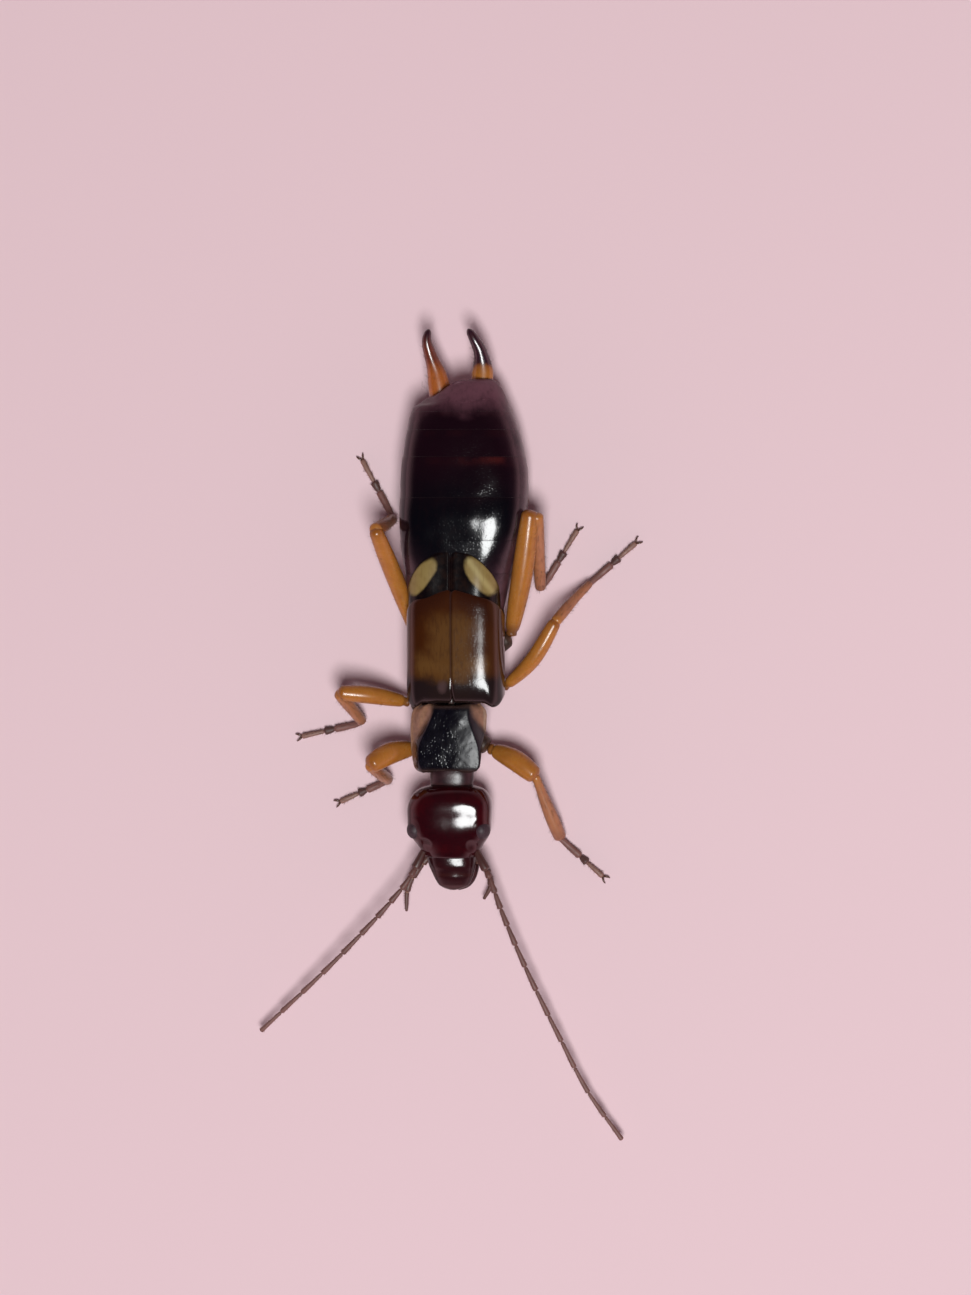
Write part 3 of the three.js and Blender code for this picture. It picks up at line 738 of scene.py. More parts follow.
def folded_wing():
    """Dark veined skin with a pale oval patch, which lies aslant, nearer the middle line at its rear. A
    paler streak along the left patch is a painted highlight.
    """
    f, c = Finish("folded wing"), colours()
    x, y = f.axis("X") - SUTURE_X, f.axis("Y")
    out = abs(x)
    wander = f.grain(2.6) - 0.5
    along = (y - 3.52) * 0.8 - (out - 0.84) * 0.6
    across = (out - 0.84) * 0.8 + (y - 3.52) * 0.6
    left = x.between(-0.1, 0.1)
    breadth = 0.255 + left * 0.04
    patch = (abs(along / 0.6) ** 2.2 + abs(across / breadth) ** 2.2 + wander * 0.7).between(1.35, 0.65)
    veins = f.grain(14.0, along=0.12)
    # streak: a paler band along the left patch, a painted highlight.
    streak = abs(across / 0.2).between(0.7, 0.0)
    pale = f.layers(
        c.wing_patch,
        (f.grain(5.0, 4.0).between(0.35, 0.75) * 0.4, (0.13, 0.08, 0.02, 1)),
        (streak * left * 0.6, (0.34, 0.285, 0.12, 1)),
        (veins.between(0.5, 0.7) * 0.25, (0.1, 0.055, 0.0175, 1)))
    dark = f.blend(f.grain(6.0, 4.0).between(0.4, 0.7) * 0.6, c.wing_dark, (0.013, 0.005, 0.003, 1))
    rough = 0.13 + f.grain(8.0) * 0.1 + patch * 0.15
    return f.surface(f.blend(patch, dark, pale), rough, veins + f.grain(26.0) * 0.3, 0.0015,
                     specular_ior_level=0.22)


def abdomen_cuticle():
    """Black in front and maroon behind, with mauve flanks and tail that are partly painted sheen, and a red
    hem on one plate.
    """
    f, c = Finish("abdomen cuticle"), colours()
    x, y, z, along = f.axis("X"), f.axis("Y"), f.axis("Z"), f.on_skin(1)
    wander = f.grain(1.1, 4.0) - 0.5
    rear = (y + wander * 1.2).between(5.2, 7.0)
    # Mauve tail: partly maroon-brown cuticle and partly a painted sheen.
    tail_and_sheen = (y + wander * 1.2).between(7.95, 8.95)
    hem = along.between(0.6, 0.8) * along.between(0.9, 0.82) * f.grain(1.3).between(0.35, 0.65)
    third = (y - 6.85).near(0.25) * x.between(0.2, 0.6) * x.between(1.75, 1.4)
    # Mauve flanks: partly their own colour and partly a painted sheen.
    flank_and_sheen = z.between(1.95, 1.25) * f.grain(1.6).between(0.1, 0.6)
    belly = z.between(1.0, 0.5)
    streak = f.grain(9.0, 5.0, along=0.5)
    tone = f.layers(
        c.abdomen,
        (rear, c.abdomen_rear),
        (hem * (0.1 * rear + 0.6 * third), (0.05, 0.0065, 0.0055, 1)),
        (flank_and_sheen * 0.85, (0.082, 0.034, 0.046, 1)),
        (tail_and_sheen * 0.85, (0.112, 0.042, 0.058, 1)),
        (belly * 0.8, (0.0275, 0.007, 0.005, 1)),
        (streak.between(0.45, 0.75) * 0.35, (0.0055, 0.0015, 0.0025, 1)))
    pits = f.pits(13.0, 0.36)
    rough = 0.08 + f.grain(3.5, 5.0) * 0.07 + (1 - pits) * 0.04 + tail_and_sheen * 0.2 + z.between(1.8, 1.3) * 0.22
    height = pits * 0.35 + f.grain(20.0, 4.0) * 0.25 + f.grain(3.0) * 0.8
    return f.surface(tone, rough, height, 0.0022, specular_ior_level=0.42)


def forceps_cuticle():
    """Clear orange bases and dark tips. The left arm is dark almost to its base."""
    f, c = Finish("forceps cuticle"), colours()
    left = f.axis("X").between(-0.1, 0.3)
    ahead = f.axis("Y") + (f.grain(4.0) - 0.5) * 0.3
    middle = ahead.between(9.25, 9.8)
    tip = ahead.between(9.95, 10.5).most(left * ahead.between(9.48, 9.66))
    streak = f.grain(11.0, 4.0, along=0.3)
    tone = f.layers(
        c.forceps,
        (left * 0.7, (0.3, 0.115, 0.012, 1)),
        (middle * 0.9, (0.085, 0.011, 0.006, 1)),
        (tip, c.forceps_tip),
        (streak.between(0.5, 0.8) * 0.4, (0.05, 0.008, 0.004, 1)))
    return f.surface(tone, 0.22 + streak * 0.12, f.grain(18.0), 0.0015, coat=0.7 - 0.3 * streak,
                     coat_roughness=0.12, glow=(0.1, (1, 0.35, 0.15), 0.15))


def leg_cuticle():
    """Amber thighs, darker at both ends."""
    f, c = Finish("leg cuticle"), colours()
    along = f.on_skin(1)
    ends = (along.between(0.16, 0.02) + along.between(0.84, 0.97)).least(1.0)
    cloud = f.grain(3.0, 4.0)
    tone = f.layers(
        c.leg,
        (ends * 0.75, c.knee),
        (cloud.between(0.4, 0.75) * 0.4, (0.22, 0.066, 0.01, 1)),
        (f.grain(14.0).between(0.5, 0.75) * 0.3, (0.3, 0.135, 0.02, 1)),
        (along.between(0.2, 0.06) * 0.6, (0.06, 0.023, 0.012, 1)))
    return f.surface(tone, 0.22 + cloud * 0.12, f.grain(22.0) * 0.6 + f.pits(16.0) * 0.4, 0.0025,
                     coat=0.3 - 0.2 * cloud, coat_roughness=0.1, specular_ior_level=0.35,
                     glow=(0.22, (1, 0.45, 0.15), 0.2))


def coxa_cuticle():
    f = Finish("coxa cuticle")
    cloud = f.grain(4.0, 4.0)
    tone = f.layers(
        (0.02, 0.01, 0.007, 1),
        (cloud.between(0.35, 0.7) * 0.8, (0.06, 0.027, 0.012, 1)),
        (f.on_skin(1).between(0.8, 1.0) * 0.5, (0.1, 0.04, 0.014, 1)))
    return f.surface(tone, 0.4 + cloud * 0.16, f.grain(20.0), 0.006, specular_ior_level=0.35)


def shin_cuticle():
    """Amber at the knee, turning brown towards the foot."""
    f, c = Finish("shin cuticle"), colours()
    along = f.on_skin(1)
    cloud = f.grain(4.0, 4.0)
    tone = f.layers(
        c.leg,
        (along.between(0.0, 0.35) * 0.7, (0.3, 0.12, 0.066, 1)),
        (along.between(0.65, 1.0) * 0.6, (0.17, 0.068, 0.048, 1)),
        (cloud.between(0.4, 0.75) * 0.4, (0.16, 0.055, 0.024, 1)))
    return f.surface(tone, 0.28 + cloud * 0.14, f.grain(24.0), 0.0025, coat=0.2 - 0.1 * cloud,
                     coat_roughness=0.15, glow=(0.15, (1, 0.45, 0.15), 0.15))


def foot_cuticle():
    """Brown feet with a dark lobe on the second joint and a paler third one."""
    f, c = Finish("foot cuticle"), colours()
    along = f.on_skin(1)
    third = along.between(0.68, 0.76)
    lobe = along.between(0.34, 0.4) * along.between(0.68, 0.62)
    cloud = f.grain(6.0, 4.0)
    tone = f.layers(
        c.tarsus,
        (third * 0.75, (0.22, 0.12, 0.09, 1)),
        (lobe * 0.7, (0.025, 0.008, 0.007, 1)),
        (cloud.between(0.4, 0.75) * 0.4, (0.07, 0.026, 0.02, 1)))
    return f.surface(tone, 0.42 + cloud * 0.2, f.grain(40.0), 0.006)


def claw_horn():
    f = Finish("claw horn")
    tone = f.layers(
        (0.08, 0.035, 0.02, 1),
        (f.axis("Z").between(0.12, 0.02), (0.015, 0.005, 0.004, 1)),
        (f.grain(20.0).between(0.4, 0.8) * 0.5, (0.03, 0.01, 0.007, 1)))
    return f.surface(tone, 0.28 + f.grain(12.0) * 0.15, f.grain(30.0), 0.004, coat=f.grain(9.0) * 0.3)


def underside_cuticle():
    f, c = Finish("underside cuticle"), colours()
    cloud = f.grain(2.4, 5.0)
    side = f.axis("Z").between(0.75, 1.2)
    tone = f.layers(
        c.underside,
        (cloud.between(0.35, 0.75) * 0.7, (0.05, 0.02, 0.011, 1)),
        (side * 0.35, (0.025, 0.015, 0.015, 1)))
    pits = f.pits(12.0)
    return f.surface(tone, 0.34 + cloud * 0.2, pits * 0.5 + f.grain(14.0, 4.0) * 0.5, 0.012,
                     coat=0.15 * pits, coat_roughness=0.2)


def neck_cuticle():
    """Dark glossy collar, browner in front."""
    f = Finish("neck cuticle")
    cloud = f.grain(3.0, 4.0)
    tone = f.layers(
        (0.014, 0.0045, 0.006, 1),
        (cloud.between(0.35, 0.7) * 0.7, (0.04, 0.014, 0.017, 1)),
        (f.axis("Y").between(-2.3, -2.5) * 0.4, (0.045, 0.015, 0.0125, 1)))
    return f.surface(tone, 0.24 + cloud * 0.14, f.grain(16.0, 4.0), 0.003, specular_ior_level=0.4)


def hair_bristle():
    f, c = Finish("hair bristle"), colours()
    cloud = f.grain(12.0, 2.0)
    tone = f.blend(cloud.between(0.35, 0.7) * 0.6, c.hair, (0.06, 0.0275, 0.015, 1))
    return f.surface(tone, 0.5 + cloud * 0.15)


# Body profiles

# Where the body's middle line runs at each station.
MIDDLE = track([
    (-5.6, 0.0), (-5.0, -0.02), (-4.4, -0.08), (-3.3, -0.1), (-2.3, -0.04), (-1.2, -0.05), (0.4, 0.05),
    (2.6, 0.1), (4.0, 0.17), (5.7, 0.33), (7.2, 0.32), (8.4, 0.25), (9.2, 0.2)])

# Each row: station, half width, top, bottom, height of the widest level, and the
# power of the rounded section, where 2 is an ellipse and 3 is squarer.
HEAD = track([
    (-4.6, 0.62, 1.27, 0.64, 0.88, 2.2), (-4.42, 0.75, 1.36, 0.54, 0.92, 2.2),
    (-4.15, 0.94, 1.47, 0.46, 0.96, 2.3), (-3.8, 1.16, 1.6, 0.42, 1.02, 2.7),
    (-3.4, 1.2, 1.68, 0.4, 1.05, 3.0), (-3.0, 1.2, 1.74, 0.42, 1.04, 3.0),
    (-2.7, 1.09, 1.7, 0.48, 1.02, 2.6), (-2.48, 0.88, 1.5, 0.6, 1.0, 2.3),
    (-2.34, 0.6, 1.2, 0.78, 0.98, 2.2)])
LIP = track([
    (-5.44, 0.22, 0.93, 0.72, 0.84, 2.2), (-5.32, 0.4, 0.99, 0.68, 0.84, 2.2),
    (-5.1, 0.54, 1.1, 0.66, 0.84, 2.3), (-4.9, 0.62, 1.17, 0.66, 0.84, 2.3),
    (-4.76, 0.665, 1.235, 0.66, 0.84, 2.3), (-4.5, 0.7, 1.28, 0.66, 0.84, 2.3),
    (-4.3, 0.72, 1.31, 0.66, 0.84, 2.3)])
NECK = track([
    (-2.6, 0.56, 1.24, 0.64, 0.98, 2.2), (-2.42, 0.61, 1.33, 0.62, 0.98, 2.2),
    (-2.25, 0.63, 1.365, 0.6, 0.98, 2.3), (-2.05, 0.63, 1.38, 0.6, 0.98, 2.3),
    (-1.5, 0.62, 1.3, 0.58, 0.98, 2.2)])
PRONOTUM = track([
    (-2.1, 0.7, 1.52, 1.16, 1.26, 2.4), (-2.02, 0.9, 1.6, 1.12, 1.26, 2.5),
    (-1.88, 1.0, 1.65, 1.08, 1.26, 2.6), (-1.3, 1.06, 1.715, 1.06, 1.26, 2.7),
    (-0.6, 1.09, 1.755, 1.06, 1.28, 2.8), (-0.3, 1.05, 1.76, 1.08, 1.3, 2.8),
    (-0.1, 0.86, 1.7, 1.14, 1.32, 2.6)])
PROTHORAX = track([
    (-1.95, 0.55, 1.14, 0.56, 0.8, 2.3), (-1.6, 0.74, 1.2, 0.44, 0.76, 2.3),
    (-0.8, 0.8, 1.22, 0.4, 0.74, 2.3), (0.1, 0.72, 1.2, 0.44, 0.76, 2.3)])
THORAX = track([
    (-0.2, 0.98, 1.56, 0.44, 0.98, 2.3), (0.3, 1.2, 1.7, 0.4, 0.98, 2.4),
    (1.0, 1.34, 1.7, 0.36, 0.96, 2.3), (1.9, 1.37, 1.66, 0.36, 0.94, 2.3),
    (2.75, 1.34, 1.5, 0.4, 0.92, 2.3)])
ABDOMEN = track([
    (2.5, 1.34, 1.52, 0.42, 0.92, 2.4), (3.5, 1.5, 1.77, 0.36, 0.98, 2.6),
    (4.5, 1.7, 1.97, 0.33, 1.04, 3.4), (5.1, 1.79, 2.06, 0.32, 1.08, 3.3),
    (5.7, 1.83, 2.07, 0.32, 1.11, 3.0), (6.6, 1.8, 2.05, 0.33, 1.13, 2.8),
    (7.4, 1.67, 2.02, 0.37, 1.13, 2.7), (8.0, 1.52, 1.95, 0.43, 1.12, 2.6),
    (8.55, 1.31, 1.81, 0.52, 1.1, 2.6), (9.15, 1.08, 1.58, 0.64, 1.08, 2.6)])
HEAD_X = MIDDLE(-3.6)[0]


def squared(value, power):
    """A cosine or sine, made squarer by the section's power."""
    return math.copysign(abs(value) ** (2 / power), value) if abs(value) > 1e-9 else 0.0


def section(table, y, angle):
    """Place on the section at a station, from the body's middle line: x, z, and the widest level."""
    half, top, bottom, wide, power = table(y)
    x, z = squared(math.cos(angle), power), squared(math.sin(angle), power)
    return x * half, z * (top - wide if z > 0 else wide - bottom), wide


def trunk(table, stops, columns, relief, ends):
    """A closed length of the trunk through the given stations, rounded over the given
    lengths at its two ends. relief(x, y, angle) raises it."""
    last = len(stops) - 1

    def shape(u, v):
        y = stops[round(v * last)]
        angle = TAU * (u % 1.0) - math.pi / 2
        x, z, wide = section(table, y, angle)
        cap = dome(y - stops[0], ends[0]) * dome(stops[-1] - y, ends[1])
        if 0 < v < 1:
            rise = relief(x, y, angle)
            x += rise * math.cos(angle)
            z += rise * math.sin(angle)
        return Vector((MIDDLE(y)[0] + x * cap, y, wide + z * cap))
    return sheet(last, columns, shape)


def stations(start, end, count, ease=0.7):
    return [mix(start, end, t) for t in eased(count, ease)]


def ripple(x, y, z):
    """Smooth unevenness between -1 and 1."""
    return noise.noise(Vector((x, y, z)))


# Head

EYE = {"out": 0.96, "y": -3.7, "z": 1.25, "size": Vector((0.24, 0.27, 0.29)) * 1.02, "turn": 0.12}
SOCKETS = ((0.58, -4.18), (-0.74, -4.13))


def to_segment(x, y, ax, ay, bx, by):
    """Distance from a place to the line between two others."""
    dx, dy = bx - ax, by - ay
    t = min(max(((x - ax) * dx + (y - ay) * dy) / (dx * dx + dy * dy), 0), 1)
    return math.hypot(x - ax - t * dx, y - ay - t * dy)


def head_relief(x, y, angle):
    """Sutures, a crown that slopes down to the left, eye rims and feeler sockets."""
    rise = 0.0
    over = math.sin(angle)
    if over > 0.1:
        line = min(to_segment(x, y, 0, -2.3, 0, -3.8),
                   to_segment(abs(x), y, 0, -3.8, 0.6, -4.2))
        rise -= sizes().suture / MM * bell(line, 0.03) * smooth(0.1, 0.3, over)
        lean = mix(0.04, 0.07, smooth(-2.9, -3.8, y)) * smooth(-4.4, -3.9, y) * smooth(-2.5, -2.8, y)
        rise -= lean * x * smooth(1.05, 0.55, abs(x))
    if abs(x) > 0.5 and over > -0.5:
        away = math.hypot(y - EYE["y"], (abs(x) - EYE["out"]) * 1.3)
        rise += 0.003 * bell(away - 0.31, 0.05)
    if over > -0.2:
        for socket_x, socket_y in SOCKETS:
            near = math.hypot(x + HEAD_X - socket_x, y - socket_y)
            rise += 0.012 * bell(near - 0.2, 0.06) - 0.03 * bell(near, 0.13)
    return rise + 0.004 * ripple(x * 2.4, y * 2.4, 1)


def eye(side):
    """A ball of small facets, each raised at its middle."""
    bm = fresh()
    raised = set(bmesh.ops.create_icosphere(bm, subdivisions=5, radius=1.0)["verts"])
    bmesh.ops.subdivide_edges(bm, edges=bm.edges, cuts=1, use_grid_fill=True)
    for vert in bm.verts:
        vert.co.normalize()
        vert.co *= 1.012 if vert in raised else 0.992
    bmesh.ops.scale(bm, vec=EYE["size"], verts=bm.verts)
    bmesh.ops.rotate(bm, cent=(0, 0, 0), verts=bm.verts, matrix=Matrix.Rotation(side * EYE["turn"], 3, "Z"))
    bmesh.ops.translate(bm, vec=(HEAD_X + side * EYE["out"], EYE["y"], EYE["z"]), verts=bm.verts)
    return bm


def build_head():
    capsule = trunk(HEAD, stations(HEAD_FRONT, HEAD_REAR + 0.02, 130, 0.75), 220, head_relief, (0.12, 0.22))
    piece("head_capsule", capsule, head_cuticle(), "head_shell", "head")
    facets = eye_facets()
    for name, side in SIDES:
        piece(f"eye_{name}_facets", eye(side), facets, "eye", f"eye_{name}")


PALPS = {
    "left": ((0.42, -4.4, 0.62), (0.9, -4.86, 0.56), (1.0, -5.3, 0.42), (0.78, -5.72, 0.3)),
    "right": ((-0.62, -4.36, 0.62), (-1.08, -4.86, 0.56), (-1.4, -5.4, 0.42), (-1.46, -6.08, 0.3)),
}
PALP_JOINTS = (
    (0.14, 0.085, 0.1), (0.2, 0.085, 0.1), (0.36, 0.08, 0.105), (0.34, 0.075, 0.1), (0.42, 0.07, 0.045))
LIP_PALPS = {
    "left": ((0.1, -4.45, 0.5), (0.2, -4.8, 0.34), (0.26, -5.1, 0.26), (0.2, -5.32, 0.22)),
    "right": ((-0.3, -4.45, 0.5), (-0.38, -4.8, 0.34), (-0.44, -5.1, 0.26), (-0.38, -5.32, 0.22)),
}
LIP_PALP_JOINTS = ((0.3, 0.07, 0.075), (0.3, 0.06, 0.075), (0.34, 0.055, 0.04))
JAW = ((0.46, -4.35, 0.46), (0.47, -4.85, 0.46), (0.36, -5.2, 0.45), (0.08, -5.44, 0.46))
JAW_GIRTH = track([(0, 0.25, 0.17), (0.5, 0.19, 0.16), (0.8, 0.12, 0.12), (1, 0.03, 0.03)])
LOWER_LIP_GIRTH = track([(0, 0.42, 0.1), (0.6, 0.34, 0.08), (1, 0.24, 0.05)])


def lip_relief(x, y, angle):
    """A low boss on the lip, the crease behind it, and a slope down to the left."""
    over = smooth(0.0, 0.4, math.sin(angle))
    rise = -0.004 * bell(y + 5.0, 0.05) * over + 0.02 * bell(x, 0.2) * bell(y + 5.1, 0.2) * over
    return rise - 0.05 * (x + 0.1) * smooth(0.6, 0.2, abs(x)) * over


def jaw(side, middle):
    """A hooked jaw with two teeth on its inner side."""
    line = Line(*((middle + side * out, y, z) for out, y, z in JAW))
    lie = Vector((-side, -0.45, 0)).normalized()
    teeth = [cone(line.at(t) - Vector((side * 0.1, 0, 0)), lie, 0.16, 0.055) for t in (0.66, 0.78)]
    return join(tapered_limb(line, JAW_GIRTH, (0.1, 0.05), 30, 0.6).skin(24), *teeth)


def build_mouth():
    finish = mouth_cuticle()
    lip = trunk(LIP, stations(-5.44, -4.3, 46), 72, lip_relief, (0.16, 0.1))
    piece("labrum_and_face", lip, finish, "mouthparts", "labrum")
    palp_finish, middle = palp_cuticle(len(PALP_JOINTS)), MIDDLE(-5)[0]
    for name, side in SIDES:
        piece(f"mandible_{name}_hooked", jaw(side, middle), finish, "mouthparts", f"mandible_{name}")
        palp = beaded_limb(Line(*PALPS[name]), PALP_JOINTS)
        piece(f"jaw_palp_{name}", palp.skin(18), palp_finish, "mouthparts", f"maxillary_palp_{name}")
        HAIRY.append((palp, 70, 0.2, 0.98, 0.07, 0.0045))
        small = beaded_limb(Line(*LIP_PALPS[name]), LIP_PALP_JOINTS)
        piece(f"lip_palp_{name}", small.skin(16), palp_finish, "mouthparts")
    line = Line((middle, -4.2, 0.5), (middle, -4.7, 0.42), (middle, -5.0, 0.4))
    lower_lip = tapered_limb(line, LOWER_LIP_GIRTH, (0.1, 0.12), 20, 0.7)
    piece("lower_lip", lower_lip.skin(32), finish, "mouthparts")


# Antennae

FEELERS = {
    "left": ((0.56, -4.12, 0.98), (1.03, -5.0, 1.14), (1.49, -6.23, 1.12), (2.17, -7.83, 1.0),
             (3.09, -9.74, 0.82), (3.84, -11.2, 0.64), (4.8, -12.57, 0.46)),
    "right": ((-0.72, -4.06, 0.98), (-1.2, -5.02, 1.15), (-1.64, -5.6, 1.14), (-2.49, -6.53, 1.06),
              (-3.8, -7.83, 0.86), (-5.68, -9.54, 0.46)),
}
FIRST_JOINT, SECOND_JOINT = 0.86, 0.24      # their lengths
FLAGELLUM = {"left": 12, "right": 9}        # joints beyond the first two


def build_antennae():
    thick = sizes().antenna / MM
    for name, points in FEELERS.items():
        line, count = Line(*points), FLAGELLUM[name]
        joints = [(FIRST_JOINT, thick * 1.1, thick * 1.5), (SECOND_JOINT, thick * 0.95, thick * 1.1)]
        rest = line.length - (FIRST_JOINT + SECOND_JOINT)
        weights = [0.62 + 0.5 * smooth(0, 0.6, i / count) for i in range(count)]
        for i, weight in enumerate(weights):
            fade = mix(1.0, 0.74, i / count)
            joints.append((rest * weight / sum(weights), thick * 0.74 * fade, thick * 1.04 * fade))
        feeler = beaded_limb(line, joints, neck=0.55, shoulder=0.06)
        piece(f"antenna_{name}_joints", feeler.skin(18), antenna_cuticle(count + 2), "antenna",
              *(f"antenna_{name}_{part}" for part in ("scape", "base", "middle", "tip")))
        HAIRY.append((feeler, 900, 0.1, 0.995, 0.055, 0.0035))


# Thorax

MARGIN_RISE = 0.24          # the clear margins' height over the pronotum's widest level
STEEP = 0.25                # where the slope of the disc's left side stops growing


def disc_half(y):
    """Half width of the raised disc, wide in front and narrow behind."""
    return mix(0.5, 0.9, smooth(-0.25, -1.5, y)) * mix(0.92, 1.0, smooth(-2.05, -1.75, y))


def disc_height(x, y, top, low, aside, half):
    """The rounded disc. The left side of its front slopes away, and its left rear has a small swelling."""
    crown = mix(low, top, (1 - min(aside / (half + 0.18), 1) ** 8) ** 0.6)
    over = max(x - 0.56, 0)
    slope = over * over if over < STEEP else 2 * STEEP * over - STEEP ** 2
    crown -= 0.21 * slope * smooth(-0.8, -1.15, y)
    return crown + 0.022 * bell(math.hypot(x - 0.38, y + 0.6), 0.15)


def pronotum_face(q, v):
    """A raised disc, wider on its left, between flat clear margins."""
    y = mix(PRONOTUM_FRONT, PRONOTUM_REAR, v)
    half, top, _, wide, _ = PRONOTUM(y)
    k = 2 * q - 1
    x = k * half
    flat = wide + MARGIN_RISE
    wide_disc = disc_half(y)
    aside = abs(x) - 0.2 * smooth(0.0, 0.6, x)
    disc = smooth(wide_disc + 0.16, wide_disc - 0.16, aside)
    margin = flat - 0.26 * smooth(0.7, 1.0, abs(k)) + 0.03 * smooth(0.92, 1.0, abs(k))
    margin += 0.1 * smooth(-0.9, -0.2, y) * smooth(1.0, 0.4, abs(k))
    z = mix(margin, disc_height(x, y, top, flat, aside, wide_disc), disc)
    z -= 0.006 * bell(y + 1.66, 0.18) * bell(x - 0.05, 0.6)
    pocks = 0.0035 * ripple(x * 8, y * 8, 3) * smooth(-0.2, 0.2, x)
    z += (0.008 * ripple(x * 2.7, y * 2.7, 3) + pocks) * disc
    return Vector((MIDDLE(y)[0] + x - 0.08, y, z))


def build_pronotum():
    plate = leaf(90, 200, pronotum_face, lambda q, v: 0.09 + 0.2 * smooth(0.15, 0.4, min(q, 1 - q)))
    piece("pronotum_shield", plate, pronotum_cuticle(), "pronotum", "pronotum")


def pleura(x, y, angle):
    """Plates and folds on the sides and under the thorax."""
    low = smooth(0.2, -0.2, math.sin(angle))
    fold = 0.0
    for at, lean in ((-1.25, 0.35), (0.62, 0.4), (1.75, 0.4)):
        fold -= 0.045 * bell(y - at - lean * math.sin(angle), 0.05)
    keel = 0.03 * bell(x, 0.12) * low
    return fold * mix(0.3, 1.0, low) + keel + 0.012 * ripple(x * 3, y * 3, angle)


def neck_folds(x, y, angle):
    """Fine folds across the front of the neck."""
    return 0.0012 * math.cos(y * 26 + x * 2) * smooth(-1.9, -2.2, y)


def build_thorax():
    finish = underside_cuticle()
    rings = (
        ("neck", NECK, stations(-2.62, -1.5, 50, 0.4), 60, neck_folds, (0.12, 0.1)),
        ("prothorax", PROTHORAX, stations(-1.98, 0.1, 60), 90, pleura, (0.2, 0.15)),
        ("thorax", THORAX, stations(-0.06, 2.75, 80), 110, pleura, (0.12, 0.15)))
    for name, *ring in rings:
        skin = trunk(*ring)
        piece(f"{name}_skin", skin, neck_cuticle() if name == "neck" else finish, "underbody", name)


# Wings

ARCH_STEPS = 160
WING_BASE = 0.9                             # level from which the wings' vaults rise
TEGMEN_HALF, TEGMEN_TOP = 1.43, 2.02
WING_HALF, WING_TOP = 1.34, 1.93
WING_FRONT, WING_SHOULDER = 1.9, 3.05       # hidden front of a folded wing, and the start of its tip


def arch(half, top, low, power):
    """Half of a rounded vault, from its crown down to the level low. It is read by the share
    of its length from the middle line outwards, and gives how far out and how high, as shares
    of the half width and the rise."""
    rise = top - WING_BASE
    points = []
    for i in range(ARCH_STEPS + 1):
        angle = math.pi / 2 * (1 - i / ARCH_STEPS)
        out, high = math.cos(angle) ** (2 / power), math.sin(angle) ** (2 / power)
        if WING_BASE + high * rise >= low:
            points.append((out, high))
    reach = [0.0]
    for (a, b), (c, d) in zip(points, points[1:]):
        reach.append(reach[-1] + math.hypot((c - a) * half, (d - b) * rise))

    @lru_cache(maxsize=None)
    def read(q):
        s = q * reach[-1]
        i = min(max(bisect_right(reach, s) - 1, 0), len(points) - 2)
        t = (s - reach[i]) / (reach[i + 1] - reach[i])
        return tuple(mix(p, r, t) for p, r in zip(points[i], points[i + 1]))
    return read


TEGMEN_ARCH = arch(TEGMEN_HALF, TEGMEN_TOP, 1.04, 4.5)
WING_ARCH = arch(WING_HALF + 0.04, WING_TOP, 1.2, 3.8)


def tegmen_face(side):
    """A wing case. The left one laps over the right one, which lies a little lower and narrower."""
    lap, narrow = (0.025, 1.0) if side > 0 else (0.05, 0.965)

    def face(q, v):
        out, high = TEGMEN_ARCH(q)
        x = out * TEGMEN_HALF
        front = TEGMEN_FRONT - 0.14 + 0.36 * (1 - dome(TEGMEN_HALF - x, 0.3)) + 0.16 * smooth(0.1, 0.0, x)
        front -= 0.12 * smooth(0.86, 1.15, x)
        rear = TEGMEN_REAR + 0.2 - 0.42 * (x / TEGMEN_HALF) - 0.3 * (1 - dome(TEGMEN_HALF - x, 0.4))
        rear -= 0.1 * smooth(0.15, 0.0, x)
        y = mix(front, rear, v)
        rise = TEGMEN_TOP - WING_BASE - 0.17 * (1 - (y + 0.37) / 3.77) ** 2
        z = WING_BASE + high * rise
        z -= 0.004 * bell(x, 0.04) if side > 0 else 0.03 + 0.05 * x
        z -= 0.28 * (1 - dome(y - front, 0.72)) * smooth(1.5, 1.25, x)
        z -= 0.045 * (1 - dome(rear - y, 0.35))
        z += 0.003 * ripple(x * 2, y * 1.5, side)
        return Vector((SUTURE_X + side * (x - lap * smooth(0.3, 0.0, x)) * narrow, y, z))
    return face


def wing_face(side):
    """The tip of a folded wing, with fine folds along it."""
    def face(q, v):
        out, high = WING_ARCH(q)
        x = out * WING_HALF
        tip = (1 - min(x / (WING_HALF + 0.02), 1) ** 1.7) ** (1 / 1.7)
        rear = WING_SHOULDER + (WING_TIP - WING_SHOULDER) * tip - 0.06 * smooth(0.2, 0.0, x)
        y = mix(WING_FRONT, rear, v)
        z = WING_BASE + high * (WING_TOP - WING_BASE)
        z += 0.003 * math.cos(x * 13) * smooth(3.0, 3.4, y)
        z -= 0.02 * bell(x, 0.06)
        z += 0.04 * bell(x - 0.75, 0.25) * bell(y - 3.5, 0.5)
        z += 0.008 * side * smooth(0.1, 0.0, x)
        return Vector((SUTURE_X + side * (x - 0.015 * side * smooth(0.2, 0.0, x)), y, z))
    return face


def scutellum_face(q, v):
    """The small pointed plate behind the pronotum."""
    k = (2 * q - 1) * (1 - v * 0.85)
    return Vector((SUTURE_X - 0.04 + 0.1 * k, mix(-0.12, 0.2, v), 1.66 - 0.05 * k * k + 0.05 * v))


